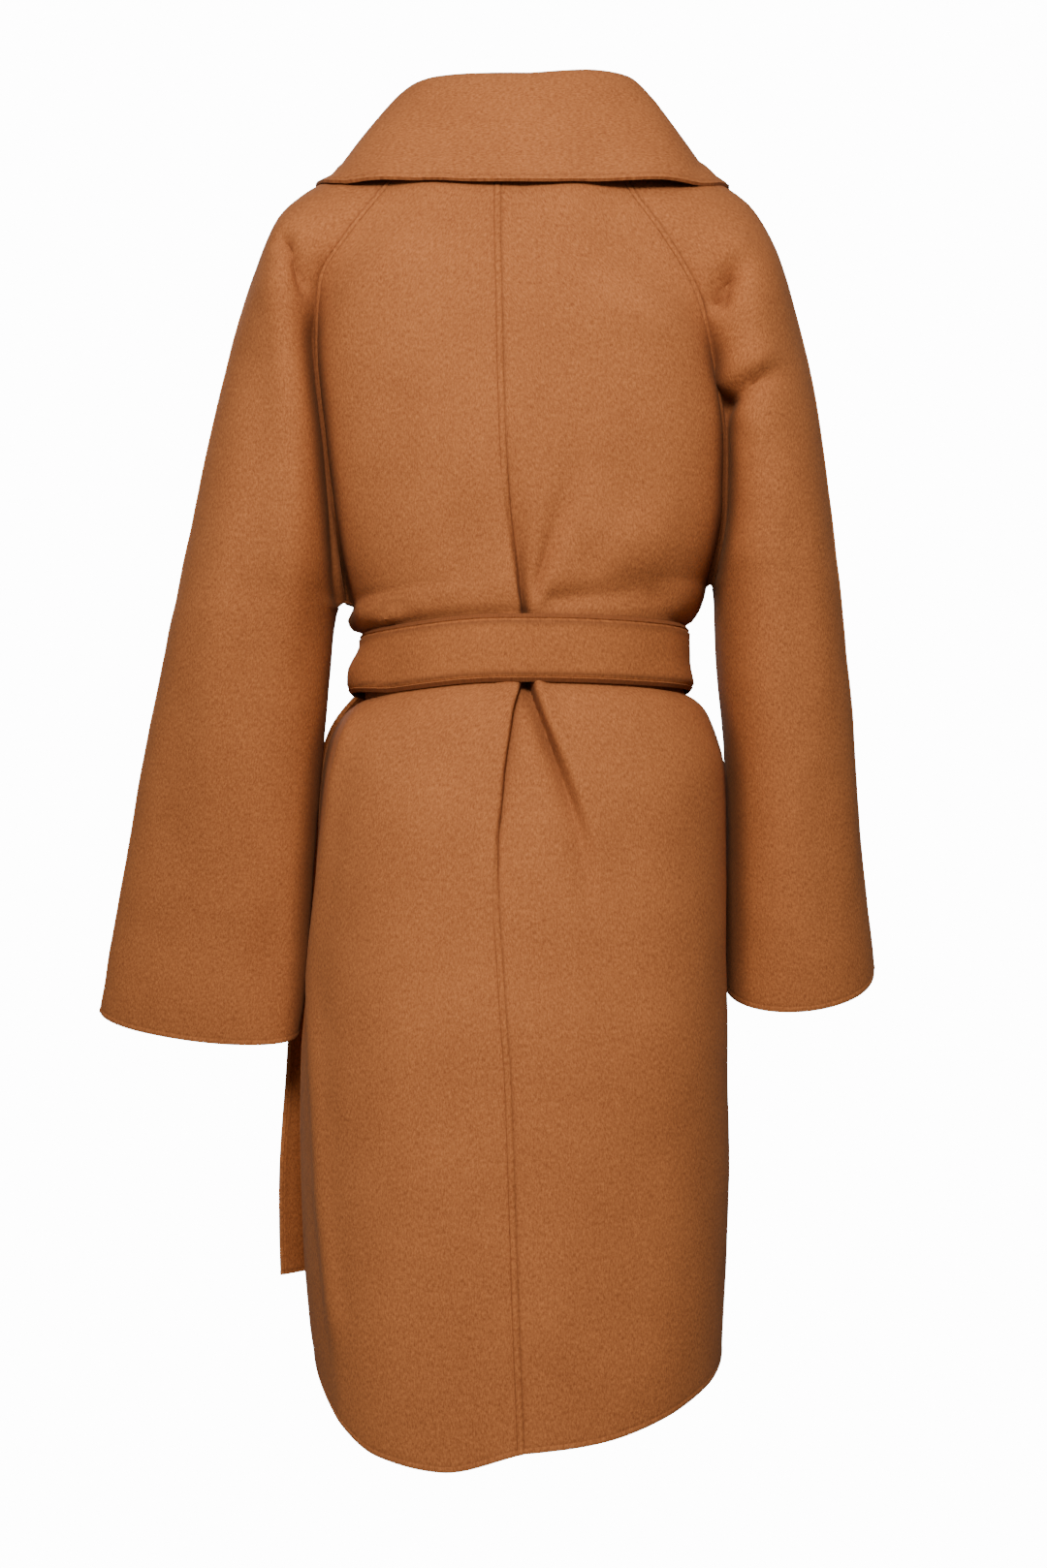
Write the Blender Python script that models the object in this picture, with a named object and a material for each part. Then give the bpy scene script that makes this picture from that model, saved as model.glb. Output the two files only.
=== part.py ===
"""A wool wrap coat, worn and hollow: raglan sleeves, a wide shawl collar and a tied belt.

Z is up, the coat faces -Y, and +X is the wearer's left. The origin lies between the
shoulders at the height of the centre-back neck seam. Tables are in millimetres.
"""
import math

import bmesh
import bpy
from mathutils import Matrix, Vector
from mathutils.bvhtree import BVHTree

MM = 0.001

# driving dimensions
WALL = 2.5 * MM                # thickness of the double-faced wool
SEAM_GAP = 0.3 * MM            # between the cut edges of two pieces
ROLL_SHIFT = -6.0 * MM         # the roll at the nape sits this far to the wearer's right
ROLL_RISE = 3.0 * MM           # and its right shoulder stands this much higher
NECK_SHIFT = 15.5 * MM         # the neckline is this much longer right of the back seam
UNDERARM = 8                   # the yoke table's last row, where sleeve and body part
HEM_START = 800.0 * MM         # below this depth the rows bend to the hem's own line
LAP_CLEARANCE = 6.4 * MM       # between the two fronts' middles where they lap
LAP_RAMP = (0.95, 0.78)        # shares of the half width between which a front moves over
COLLAR_SEAM = 2.2 * MM         # between the neckline and the collar's cut edge
COLLAR_LIFT = 6.3 * MM         # the collar's middle off the coat's middle surface
COLLAR_NARROW = 4.0 * MM       # the collar's edge lies this much closer in at the right
BELT_WIDTH = 50.0 * MM
BELT_WALL = 4.0 * MM           # two layers of wool
BELT_TOP = -399.5 * MM
BELT_LIFT = 4.2 * MM           # belt's middle off the coat's middle surface
BELT_DROP = {"left": 7.0 * MM, "right": 1.5 * MM}   # how far the belt sags at each side
ROW_STEP = 38.0 * MM           # longest row of faces down the cloth

BACK_COLUMNS = 11
FRONT_COLUMNS = 10
SLEEVE_COLUMNS = 9
STAND_COLUMNS = 4
FALL_COLUMNS = 6
BELT_COLUMNS = 44


def table(columns, *rows):
    """A table in millimetres, kept as one list of metres for each named column."""
    names = columns.split()
    return {name: [row[i] * MM for row in rows if row[i] is not None]
            for i, name in enumerate(names)}


# the middle of the yoke: centre back, centre front, the front edge's half width, and how
# far that edge is shifted with the neck towards the wearer's left
YOKE_CENTRE = table(
    "back_z seam  back  front_z front edge shift",
    (0,     12,   79,   -70,    62,   58,  2),
    (-55,   18,   117,  -112,   86,   52,  5),
    (-100,  18,   130,  -143,   99,   45,  6),
    (-142,  17,   136,  -178,   109,  35,  6),
    (-192,  16,   138,  -218,   115,  18,  5),
    (-248,  14.5, 137,  -264,   117,  -8,  3),
    (-302,  12,   133,  -309,   115,  -40, 1),
    (-345,  8,    128,  -347,   112,  -72, 0),
    (-368,  5.5,  126,  -368,   110,  -84, 0),
)

YOKE_COLUMNS = ("bx by bz b_turn b_fold b_lead b_swell ox oy oz over "
                "fx fy fz f_turn f_fold f_lead f_swell gap")
# back seam, its floor's heading and fold (in thousandths of a right angle), handles of the
# sleeve's back; the overarm line; the same for the front; half the valley's width
YOKE = {
    "left": table(
        YOKE_COLUMNS,
        (58,  62,  4,    -500, 0,    8,   22,  77,  4,   15,   0,
         79,  -48, -10,  -600, 0,    8,   22,  4.0),
        (108, 104, -62,  -250, 0,    22,  52,  134, 4,   -21,  60,
         122, -84, -68,  -300, 0,    22,  46,  4.0),
        (139, 108, -102, -80,  200,  34,  78,  184, 1,   -49,  90,
         146, -92, -112, -100, 200,  34,  70,  4.0),
        (161, 98,  -138, 0,    560,  46,  92,  209.5, -2,  -94,  120,
         158, -86, -150, 0,    560,  50,  88,  3.8),
        (165, 78,  -194, 0,    880,  62,  104, 234, -4,  -158, 150,
         160, -70, -200, 0,    880,  66,  104, 3.6),
        (160, 60,  -252, 0,    980,  78,  112, 252.5, -7,  -224, 130,
         156, -56, -258, 0,    980,  84,  116, 3.6),
        (155, 42,  -308, 0,    1000, 92,  116, 269, -10, -298, 100,
         152, -40, -312, 0,    1000, 100, 120, 4.4),
        (150, 20,  -358, 0,    1000, 102, 115, 280.5, -12, -352, 80,
         149, -20, -358, 0,    1000, 112, 122, 7.0),
        (148, 0,   -378, 0,    1000, 112, 116, 285.6, -13, -378, 70,
         148, 0,   -378, 0,    1000, 120, 122, 8.5),
    ),
    "right": table(
        YOKE_COLUMNS,
        (52,  62,  4,    -500, 0,    8,   24,  72,  4,   15,   0,
         74,  -48, -10,  -600, 0,    8,   24,  4.0),
        (83,  106, -62,  -250, 0,    24,  54,  130, 4,   -18,  60,
         100, -84, -68,  -300, 0,    24,  48,  4.0),
        (112, 112, -104, -80,  60,   34,  78,  174.5, 2,   -48,  80,
         128, -92, -112, -100, 200,  34,  70,  4.0),
        (138, 108, -150, 0,    360,  46,  94,  203.5, -1,  -91,  90,
         146, -86, -152, 0,    560,  50,  88,  3.4),
        (152, 88,  -204, 0,    840,  60,  104, 230, -4,  -176, 110,
         156, -70, -204, 0,    880,  66,  104, 3.2),
        (161, 66,  -256, 0,    980,  76,  112, 243, -6,  -240, 130,
         160, -56, -260, 0,    980,  84,  116, 3.2),
        (162, 44,  -306, 0,    1000, 92,  118, 251.5, -8,  -300, 120,
         162, -42, -310, 0,    1000, 100, 120, 3.2),
        (157, 20,  -346, 0,    1000, 108, 122, 257, -10, -344, 110,
         157, -20, -348, 0,    1000, 112, 124, 3.6),
        (154, 0,   -362, 0,    1000, 121, 126, 259.8, -11, -362, 100,
         154, 0,   -362, 0,    1000, 124, 127, 4.6),
    ),
}

# the sleeves below the underarm: inner line, outer line, swell to back and front, how far
# the ring drops per metre towards the back, and how far back the overarm seam lies
SLEEVE_COLUMNS_LOW = "ix iy iz ox oy oz back front tilt over"
SLEEVE = {
    "left": table(
        SLEEVE_COLUMNS_LOW,
        (148, 0,   -378,   285.6, -13, -378, 118, 126, 0, 70),
        (154, 0,   -382,   287.6, -13, -386, 118, 124, 10, 70),
        (157, -1,  -394,   291.4, -15, -400, 116, 121, 20,  65),
        (162, -4,  -440,   302, -22, -442, 105, 108, 50,  60),
        (168, -7,  -510,   318, -34, -512, 87,  90,  100, 50),
        (174, -10, -580,   332.4, -44, -582, 70,  74,  180, 40),
        (179, -12, -650,   346.2, -53, -652, 58,  62,  260, 30),
        (184, -13, -701,   354.8, -58, -706, 50,  53,  330, 20),
        (188.5, -14, -727, 360, -62, -728.5, 46,  49,  370, 20),
    ),
    "right": table(
        SLEEVE_COLUMNS_LOW,
        (154, 0,   -362,   259.8, -11, -362, 125, 127, 0, 100),
        (158, 0,   -366,   260.3, -11, -366, 125, 127, 10, 100),
        (159.5, -1, -378,  261.8, -12, -378, 123, 126, 20,  100),
        (162, -6,  -436,   267.4, -18, -436, 117, 120, 60, 90),
        (168, -13, -505,   274, -26, -503, 108, 111, 130, 80),
        (169.8, -20, -572, 280, -34, -568, 100, 103, 230, 60),
        (169.6, -27, -634, 287.5, -40, -630, 92,  95,  320, 40),
        (169.8, -32, -694, 294.3, -45, -685, 84,  87,  400, 20),
    ),
}

# the body below the underarm: height, centre-back seam, half widths, depths, front edge
BODY = table(
    "z    seam  left   right  back front edge",
    (-368, 5.5,  139.5, 149.5, 126, 110, -84),
    (-374, 5,    139.5, 148.5, 126, 110, -86),
    (-384, 4,    144.5, 144.5, 124, 109, -89),
    (-392, 2.5,  140.5, 137.5, 121, 108, -91),
    (-398, 1.5,  129,   130.5, 117, 106, -93),
    (-425, 1,    129,   130.5, 117, 106, -96),
    (-453, 4,    129,   131,   117, 106, -97),
    (-458, 5,    138,   140,   122, 112, -98),
    (-466, 7,    148,   148,   127, 118, -98),
    (-489, 12,   161,   158,   136, 129, -98),
    (-521, 16.5, 166,   165,   144, 137, -98),
    (-570, 20,   169,   166,   153, 144, -98),
    (-620, 19,   171.5, 165.8, 161, 150, -98),
    (-664, 16,   174,   165.5, 167, 155, -98),
    (-710, 13,   178,   166,   173, 159, -98),
    (-750, 10,   182,   166.5, 177, 161, -98),
    (-800, 8,    183,   167.5, 181, 163, -98),
    (-860, 6,    182.5, 167,   185, 165, -98),
    (-920, 4,    181,   165.5, 189, 166, -98),
    (-980, 1.5,  177,   163.5, 192, 167, -98),
    (-1020, 0,   172,   161.5, 193, 167, -98),
)

# the pleat at the back below the belt: its sharp edge and its soft edge
PLEAT = table(
    "z    sharp soft",
    (-452, 5,    -7),
    (-471, 10.5, -13.5),
    (-498, 14.5, -24),
    (-520, 17.6, -32.5),
    (-549, 19.5, -42),
    (-570, 21.7, -48),
    (-660, 22,   -62),
)

# the hem's height from a panel's centre line (first row) to its side (last row)
HEM = table(
    "back_left back_right front_left front_right",
    (-1029,    -1029,     -1002,     -1002),
    (-1045,    -1023,     -1000,     -1001),
    (-1040,    -1012.5,   -996,      -999),
    (-1021,    -1002,     -990,      -995),
    (-1000,    -994,      -985,      -990),
    (-985,     -989,      -985,      -989),
)

# the collar's roll line and outer edge, from centre back round the shoulder to the chest,
# at lengths along the neckline
COLLAR = table(
    "path  roll_x roll_y roll_z edge_x edge_y edge_z",
    (0,    0,     86,    30.5,    0,     130,   -65),
    (40,   46,    79,    33,  56,    126,   -64),
    (72,   80,    60,    34.5,    115,   113,   -59),
    (98,   93,    34,    32,    154,   79,    -57),
    (122,  96,    4,     29,    170,   12,    -49),
    (150,  91,    -34,   18,    168,   -46,   -58),
    (180,  82,    -63,   -4,    161,   -78,   -62),
    (195,  77,    -71,   -16,   163,   -82,   -63),
    (210,  71,    -80,   -31,   162,   -85,   -66),
    (230,  65,    -88,   -52,   161,   -89,   -71),
)
# the lapels: yoke row (in thousandths) and the outer edge's half width
LAPEL = table(
    "row   left right",
    (2000, 154, 148),
    (2900, 150, 146),
    (3800, 142, 142),
    (4800, 118, 124),
    (5600, 92,  98),
    (6200, 66,  72),
    (6700, None, 38),
    (7200, None, -10),
    (7600, None, -58),
)
LAPEL_TUCK = 9.0 * MM          # the left lapel ends this far short of the front over it
ROLL = 4.5 * MM                # how far the lapels' turned edge bulges past the fronts

# the belt's ends: distance from its middle line to the coat at heights below the knot
KNOT = {"x": 115.6 * MM, "y": -83.7 * MM, "z": -424 * MM, "wide": 52 * MM, "high": 62 * MM,
        "deep": 20 * MM}
TAILS = {
    "belt_tail_long": table(
        "z    out_x  out_y in_x in_y",
        (-445.5, 138.6, -75.6, 117.6, -96.6),
        (-480, 166,  -84,  138, -116),
        (-540, 183,  -86,  152, -123),
        (-620, 195,  -87,  162, -124),
        (-700, 201,  -88,  168, -124),
        (-780, 205.5, -89, 171, -124),
        (-870, 209,  -90,  174, -125),
        (-952, 208,  -91,  173, -127),
    ),
    "belt_tail_short": table(
        "z    out_x  out_y in_x in_y",
        (-445, 113.2, -99.9, 91.2, -116.9),
        (-480, 126,  -132, 88,  -158),
        (-540, 131,  -150, 90,  -176),
        (-620, 134,  -160, 92,  -187),
        (-700, 136,  -167, 93,  -194),
        (-760, 137,  -171, 94,  -198),
    ),
}

BACK_FULL = (0.66, 0.62)       # handle lengths of a quarter section, centre and side
FRONT_FULL = (0.62, 0.60)


def slope(values, i):
    """Slope of a smooth curve through the values at i, flat at peaks and hollows."""
    if i == 0 or i == len(values) - 1:
        j = min(i, len(values) - 2)
        return values[j + 1] - values[j]
    before, after = values[i] - values[i - 1], values[i + 1] - values[i]
    return 0.0 if before * after <= 0 else 2 * before * after / (before + after)


def smooth(values, position):
    """The values as a smooth curve, read at a row position with a fraction."""
    i = max(0, min(len(values) - 2, int(position)))
    t = position - i
    a, b = values[i], values[i + 1]
    return (a * (1 + 2 * t) * (1 - t) ** 2 + b * t * t * (3 - 2 * t)
            + slope(values, i) * t * (1 - t) ** 2 - slope(values, i + 1) * t * t * (1 - t))


def ease(t):
    t = max(0.0, min(1.0, t))
    return t * t * (3 - 2 * t)


def bump(x, centre, width):
    return math.exp(-((x - centre) / width) ** 2)


def bezier(a, b, c, d, steps=24):
    return [a * (1 - t) ** 3 + b * 3 * t * (1 - t) ** 2 + c * 3 * t * t * (1 - t) + d * t ** 3
            for t in (i / steps for i in range(steps + 1))]


def along(points, fractions):
    """Points at the given shares of a polyline's length."""
    reach = [0.0]
    for a, b in zip(points, points[1:]):
        reach.append(reach[-1] + (b - a).length)
    found, i = [], 0
    for fraction in fractions:
        want = fraction * reach[-1]
        while i < len(points) - 2 and reach[i + 1] < want:
            i += 1
        step = reach[i + 1] - reach[i]
        found.append(points[i].lerp(points[i + 1], (want - reach[i]) / step if step else 0.0))
    return found


def heading(turn):
    """Unit vector in the plane of a row; turn is in right angles from outward to back."""
    angle = turn * math.pi / 2
    return Vector((math.cos(angle), math.sin(angle), 0.0))


def armhole(side, row, face):
    """Seam point at the valley's floor, and the ends of the fold on the body and sleeve."""
    rows = YOKE[side]
    toward = 1 if face == "b" else -1
    at = Vector([smooth(rows[face + axis], row) for axis in "xyz"])
    floor = heading(toward * smooth(rows[face + "_turn"], row) / MM / 1000)
    out = Vector((-floor.y, floor.x, 0.0)) * toward
    fold = smooth(rows[face + "_fold"], row) / MM / 1000 * math.pi / 2
    radius = smooth(rows["gap"], row)
    arc = [(math.sin(fold * k / 4) * radius, (1 - math.cos(fold * k / 4)) * radius)
           for k in range(5)]
    body = [at - floor * a + out * b for a, b in arc]
    sleeve = [at + floor * a + out * b for a, b in arc]
    leave_body = floor * math.cos(fold) - out * math.sin(fold)
    leave_sleeve = floor * math.cos(fold) + out * math.sin(fold)
    return body, sleeve, leave_body, leave_sleeve


def quarter(centre, side_point, arriving, full):
    """A quarter section from a centre line, square to it, to a side point."""
    across, deep = side_point.x - centre.x, abs(side_point.y - centre.y)
    hold = full[1] * (abs(arriving.x) * across + abs(arriving.y) * deep)
    first = centre + Vector((full[0] * across, 0, 0))
    last = side_point - arriving * hold
    first.z = centre.z + (side_point.z - centre.z) * 0.3
    last.z = centre.z + (side_point.z - centre.z) * 0.8
    return bezier(centre, first, last, side_point)


def mirrored(points, side):
    return points if side == "left" else [Vector((-p.x, p.y, p.z)) for p in points]


def outward(side, x):
    return x if side == "left" else -x


def hem_height(face, side, share):
    return smooth(HEM[face + "_" + side], 5 * share)


def belt_sag(side, x):
    """How far the belt, and the cloth it holds, sags at this distance from the middle."""
    return BELT_DROP[side] * ease((x - 0.02) / 0.11)


def body_section(side, row, face):
    """Section of the body form below the underarm, centre line first, outward = +X."""
    z = smooth(BODY["z"], row)
    deep = smooth(BODY[face], row)
    wide = smooth(BODY[side], row)
    centre = Vector((outward(side, smooth(BODY["seam"], row)) if face == "back" else 0.0,
                     deep if face == "back" else -deep, z))
    level = smooth(YOKE[side]["bz"], UNDERARM)
    settle = ease((BELT_TOP - z) / (BELT_TOP - BODY["z"][0]))
    held = (1 - settle) * ease((z + 0.52) / 0.06)
    side_point = Vector((wide, 0.0, z + settle * (level - BODY["z"][0])))
    arriving = Vector((0, -1 if face == "back" else 1, 0))
    full = BACK_FULL if face == "back" else FRONT_FULL
    points = quarter(centre, side_point, arriving, full)
    drop = ease((-z - HEM_START) / (-BODY["z"][-1] - HEM_START))
    for i, p in enumerate(points):
        share = i / (len(points) - 1)
        p.z += drop * (hem_height(face, side, share) - BODY["z"][-1]) - held * belt_sag(side, p.x)
    return points


def yoke_section(side, row, face):
    """Section of the body between the centre line and the raglan seam."""
    name = "b" if face == "back" else "f"
    fold, _, arriving, _ = armhole(side, row, name)
    z = smooth(YOKE_CENTRE[face + "_z"], row)
    deep = smooth(YOKE_CENTRE[face], row)
    seam = outward(side, smooth(YOKE_CENTRE["seam"], row)) if face == "back" else 0.0
    centre = Vector((seam, deep if face == "back" else -deep, z))
    full = BACK_FULL if face == "back" else FRONT_FULL
    return quarter(centre, fold[-1], arriving, full)[:-1] + fold[::-1]


def section(side, row, face):
    """Section on either table: rows up to UNDERARM are the yoke's, the rest the body's."""
    if row <= UNDERARM:
        return yoke_section(side, row, face)
    return body_section(side, row - UNDERARM, face)


def pleat_edge(name, z):
    """Where one edge of the pleat below the belt runs at this height."""
    rows = list(zip(PLEAT["z"], PLEAT[name]))
    for (above, a), (below, b) in zip(rows, rows[1:]):
        if z >= below:
            return a + (b - a) * max(0.0, (above - z) / (above - below))
    return rows[-1][1]


def pleat_depth(x, z):
    """How far the back sinks at the pleat that the belt gathers in, above and below it."""
    depth = 0.0
    if z < -0.43:
        fall = ease((z + 0.64) / 0.18)
        inside = (ease((pleat_edge("sharp", z) - x) / 0.007 + 0.5)
                  * ease((x - pleat_edge("soft", z)) / 0.014 + 0.5))
        depth += 0.0135 * fall * inside
    if z > -0.45:
        rise = ease((-0.25 - z) / 0.14)
        line = min(0.014, 0.0015 + 0.15 * max(0.0, z + 0.398))
        near = ease((z + 0.41) / 0.09)
        over = (line + 0.003 - x) / (0.016 + 0.010 * near)
        depth += (0.007 + 0.004 * near) * rise * (ease(over / 0.3) - ease((over - 0.3) / 0.7))
        second = -0.0062 - 0.31 * max(0.0, z + 0.398)
        depth += 0.005 * rise * bump(x, second, 0.0045 + 0.09 * max(0.0, z + 0.398))
    return depth


def back_row(side, row, columns):
    points = along(section(side, row, "back"), [1 - u for u in columns][::-1])
    for p in points:
        p.y -= pleat_depth(outward(side, p.x), p.z)
    return mirrored(points, side)


def front_row(side, row, columns):
    """A front from its raglan or side seam across the middle to its own front edge."""
    other = "right" if side == "left" else "left"
    reach = section(side, row, "front")[::-1]
    beyond = [Vector((-p.x, p.y, p.z)) for p in section(other, row, "front")[1:]]
    edge = front_edge(side, row)
    points = []
    for a, b in zip(reach + beyond, (reach + beyond)[1:]):
        points.append(a)
        if b.x <= edge:
            points.append(a.lerp(b, (a.x - edge) / (a.x - b.x)))
            break
    layer = LAP_CLEARANCE / 2 * (1 if side == "right" else -1)
    wide = max(p.x for p in points)
    moved = []
    for i, p in enumerate(points):
        way = points[min(i + 1, len(points) - 1)] - points[max(i - 1, 0)]
        out = Vector((-way.y, way.x, 0)).normalized()
        shift = layer * ease((LAP_RAMP[0] - p.x / wide) / (LAP_RAMP[0] - LAP_RAMP[1]))
        moved.append(p + out * shift)
    return mirrored(along(moved, columns), side)


def sleeve_ring(side, row):
    """A sleeve's row from its back seam over the arm to its front seam, outward = +X."""
    if row <= UNDERARM:
        rows = YOKE[side]
        _, back_fold, _, back_way = armhole(side, row, "b")
        _, front_fold, _, front_way = armhole(side, row, "f")
        over = Vector([smooth(rows["o" + axis], row) for axis in "xyz"])
        handles = [smooth(rows[name], row) for name in ("b_lead", "b_swell", "f_lead", "f_swell")]
        tilt = 0.0
    else:
        rows, row = SLEEVE[side], row - UNDERARM
        inner = Vector([smooth(rows["i" + axis], row) for axis in "xyz"])
        over = Vector([smooth(rows["o" + axis], row) for axis in "xyz"])
        back_fold = front_fold = [inner]
        back_way, front_way = Vector((0, 1, 0)), Vector((0, -1, 0))
        back, front = smooth(rows["back"], row), smooth(rows["front"], row)
        handles = [back, back, front, front]
        tilt = smooth(rows["tilt"], row) / MM / 1000
    start, end = back_fold[-1], front_fold[-1]
    lead = [start + back_way * handles[0], over + Vector((0, handles[1], 0))]
    trail = [over - Vector((0, handles[3], 0)), end + front_way * handles[2]]
    lead[0].z = start.z + (over.z - start.z) * 0.35
    trail[1].z = end.z + (over.z - end.z) * 0.35
    ring = (back_fold[:-1] + bezier(start, *lead, over) + bezier(over, *trail, end)[1:]
            + front_fold[::-1][1:])
    for p in ring:
        p.z -= tilt * (p.y - (start.y + over.y) / 2)
    return ring


def sleeve_row(side, row, face, columns):
    rows = YOKE[side] if row <= UNDERARM else SLEEVE[side]
    place = row if row <= UNDERARM else row - UNDERARM
    parting = 0.5 - smooth(rows["over"], place) / MM / 1000
    if face == "back":
        shares = [parting * u for u in columns]
    else:
        shares = [1 - (1 - parting) * (u) for u in columns][::-1]
    return mirrored(along(sleeve_ring(side, row), shares), side)


def crowded(count, row):
    """Column positions from 0 to 1, close together at the start below the shoulder."""
    most = ease((row + 1) / 4)
    shares = even(count)
    packed = [0.15 * t * (1 - t) ** 2 + t * t * (3 - 2 * t) - 0.6 * t * t * (1 - t) for t in shares]
    return [t + most * (u - t) for t, u in zip(shares, packed)]


def even(count):
    return [i / count for i in range(count + 1)]


def row_positions(heights, first=0.0):
    """Row positions that cut each table step into pieces no longer than ROW_STEP."""
    places = [first]
    for i, (a, b) in enumerate(zip(heights, heights[1:])):
        pieces = max(1, math.ceil(abs(b - a) / ROW_STEP - 0.2))
        places += [first + i + (k + 1) / pieces for k in range(pieces)]
    return places


YOKE_ROWS = row_positions(YOKE["left"]["bz"])


def grid_mesh(rows, layer):
    """A grid laid out with one vertex for each point, every face marked with its layer."""
    down, across = len(rows), len(rows[0])
    sheet = bmesh.new()
    bmesh.ops.create_grid(sheet, x_segments=across - 1, y_segments=down - 1, size=1.0)
    for vertex in sheet.verts:
        i = round((vertex.co.x + 1) / 2 * (across - 1))
        j = round((vertex.co.y + 1) / 2 * (down - 1))
        vertex.co = rows[j][i]
    for face in sheet.faces:
        face.material_index = layer
    return sheet


def join(sheets):
    """The grids as one sheet, sewn together where their edges have the same points."""
    whole = bmesh.new()
    for sheet in sheets:
        mesh = bpy.data.meshes.new("sheet")
        sheet.to_mesh(mesh)
        sheet.free()
        whole.from_mesh(mesh)
        bpy.data.meshes.remove(mesh)
    bmesh.ops.remove_doubles(whole, verts=whole.verts, dist=1e-5)
    return whole


def wool(name, colour):
    material = bpy.data.materials.new(name)
    material.use_nodes = True
    shader = material.node_tree.nodes["Principled BSDF"]
    shader.inputs["Base Color"].default_value = (*colour, 1.0)
    shader.inputs["Roughness"].default_value = 0.9
    shader.inputs["Metallic"].default_value = 0.0
    return material


CAMEL = (0.445, 0.165, 0.066)


def cut_piece(whole, layer, name, wall, colour=CAMEL):
    """One piece of the sheet as a closed wall, its cut edges drawn back by half a gap."""
    faces = [f for f in whole.faces if f.material_index == layer]
    own = {v: None for f in faces for v in f.verts}
    rims = [e for f in faces for e in f.edges
            if sum(1 for g in e.link_faces if g.material_index == layer) == 1]
    on_rim = {}
    for e in rims:
        for v in e.verts:
            on_rim.setdefault(v, []).append(e)
    piece = bmesh.new()
    for v in own:
        at = v.co.copy()
        if v in on_rim:
            middle = sum((f.calc_center_median() for f in v.link_faces
                          if f.material_index == layer), Vector())
            count = sum(1 for f in v.link_faces if f.material_index == layer)
            inward = middle / count - v.co
            inward -= v.normal * inward.dot(v.normal)
            for e in on_rim[v]:
                if not e.is_boundary:
                    way = (e.other_vert(v).co - v.co).normalized()
                    side = (inward - way * inward.dot(way)).normalized()
                    at += side * SEAM_GAP / 2 / max(1, sum(not x.is_boundary for x in on_rim[v])
                                                    if count > 1 else 1)
        own[v] = (piece.verts.new(at + v.normal * wall / 2),
                  piece.verts.new(at - v.normal * wall / 2), v.index)
    for f in faces:
        a, b, c, d = f.verts
        if (a.co - c.co).length > (b.co - d.co).length:
            a, b, c, d = b, c, d, a
        for corners in ((a, b, c), (a, c, d)):
            piece.faces.new([own[v][0] for v in corners])
            piece.faces.new([own[v][1] for v in reversed(corners)])
    for e in rims:
        loop = next(lp for lp in e.link_loops if lp.face.material_index == layer)
        a, b = loop.vert, loop.link_loop_next.vert
        (a_out, a_in, a_rank), (b_out, b_in, b_rank) = own[a], own[b]
        if a_rank < b_rank:
            piece.faces.new([b_out, a_out, b_in])
            piece.faces.new([a_out, a_in, b_in])
        else:
            piece.faces.new([b_out, a_out, a_in])
            piece.faces.new([b_out, a_in, b_in])
    mesh = bpy.data.meshes.new(name)
    piece.to_mesh(mesh)
    piece.free()
    mesh.materials.append(wool(name + "_wool", colour))
    mesh.shade_smooth()
    mesh.set_sharp_from_angle(angle=math.radians(50))
    item = bpy.data.objects.new(name, mesh)
    bpy.context.scene.collection.objects.link(item)
    return item


def front_edge(side, row):
    if row > UNDERARM:
        return smooth(BODY["edge"], row - UNDERARM)
    return smooth(YOKE_CENTRE["edge"], row) + outward(side, smooth(YOKE_CENTRE["shift"], row))


def on_front(side, row, out):
    """Point of the coat's front or front shoulder that lies this far out from the middle."""
    ring = sleeve_ring(side, row)
    cloth = ring[len(ring) // 2:] + mirrored(front_row(side, row, even(24)), side)
    for a, b in zip(cloth, cloth[1:]):
        if b.x <= out <= a.x:
            return a.lerp(b, (a.x - out) / max(a.x - b.x, 1e-9))
    return cloth[-1].copy()


def length(points):
    return sum((b - a).length for a, b in zip(points, points[1:]))


def off_front(side, row, out, lift):
    """Point lifted off the front, square to its surface, this far out from the middle."""
    near = on_front(side, row, out)
    way = on_front(side, row, out - 0.006) - on_front(side, row, out + 0.006)
    return near + Vector((-way.y, way.x, 0)).normalized() * lift


def lapel_start(side, row):
    """Inner half width of a lapel, and how fully it ends under the front over it."""
    edge = front_edge(side, row)
    if side == "right":
        return edge, 0.0
    covered = LAPEL_TUCK - front_edge("right", row)
    tucked = ease((covered - edge) / (4 * LAPEL_TUCK) + 0.5)
    return edge + max(covered - edge, 0.0) * tucked, tucked


def neckline(side):
    """The line that carries the collar, round the neck and down the front edge, and the
    length at which each row of the yoke is reached."""
    line = []
    for name in ("back", "sleeve_back", "sleeve_front", "front"):
        line += mirrored(panel_row(name, side, 0), side)
    reached = [length(line)]
    for row in YOKE_ROWS[1:]:
        start, tucked = lapel_start(side, row)
        line.append(off_front(side, row, start, (COLLAR_LIFT - ROLL / 2) * tucked))
        reached.append(length(line))
    return line, reached


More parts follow.
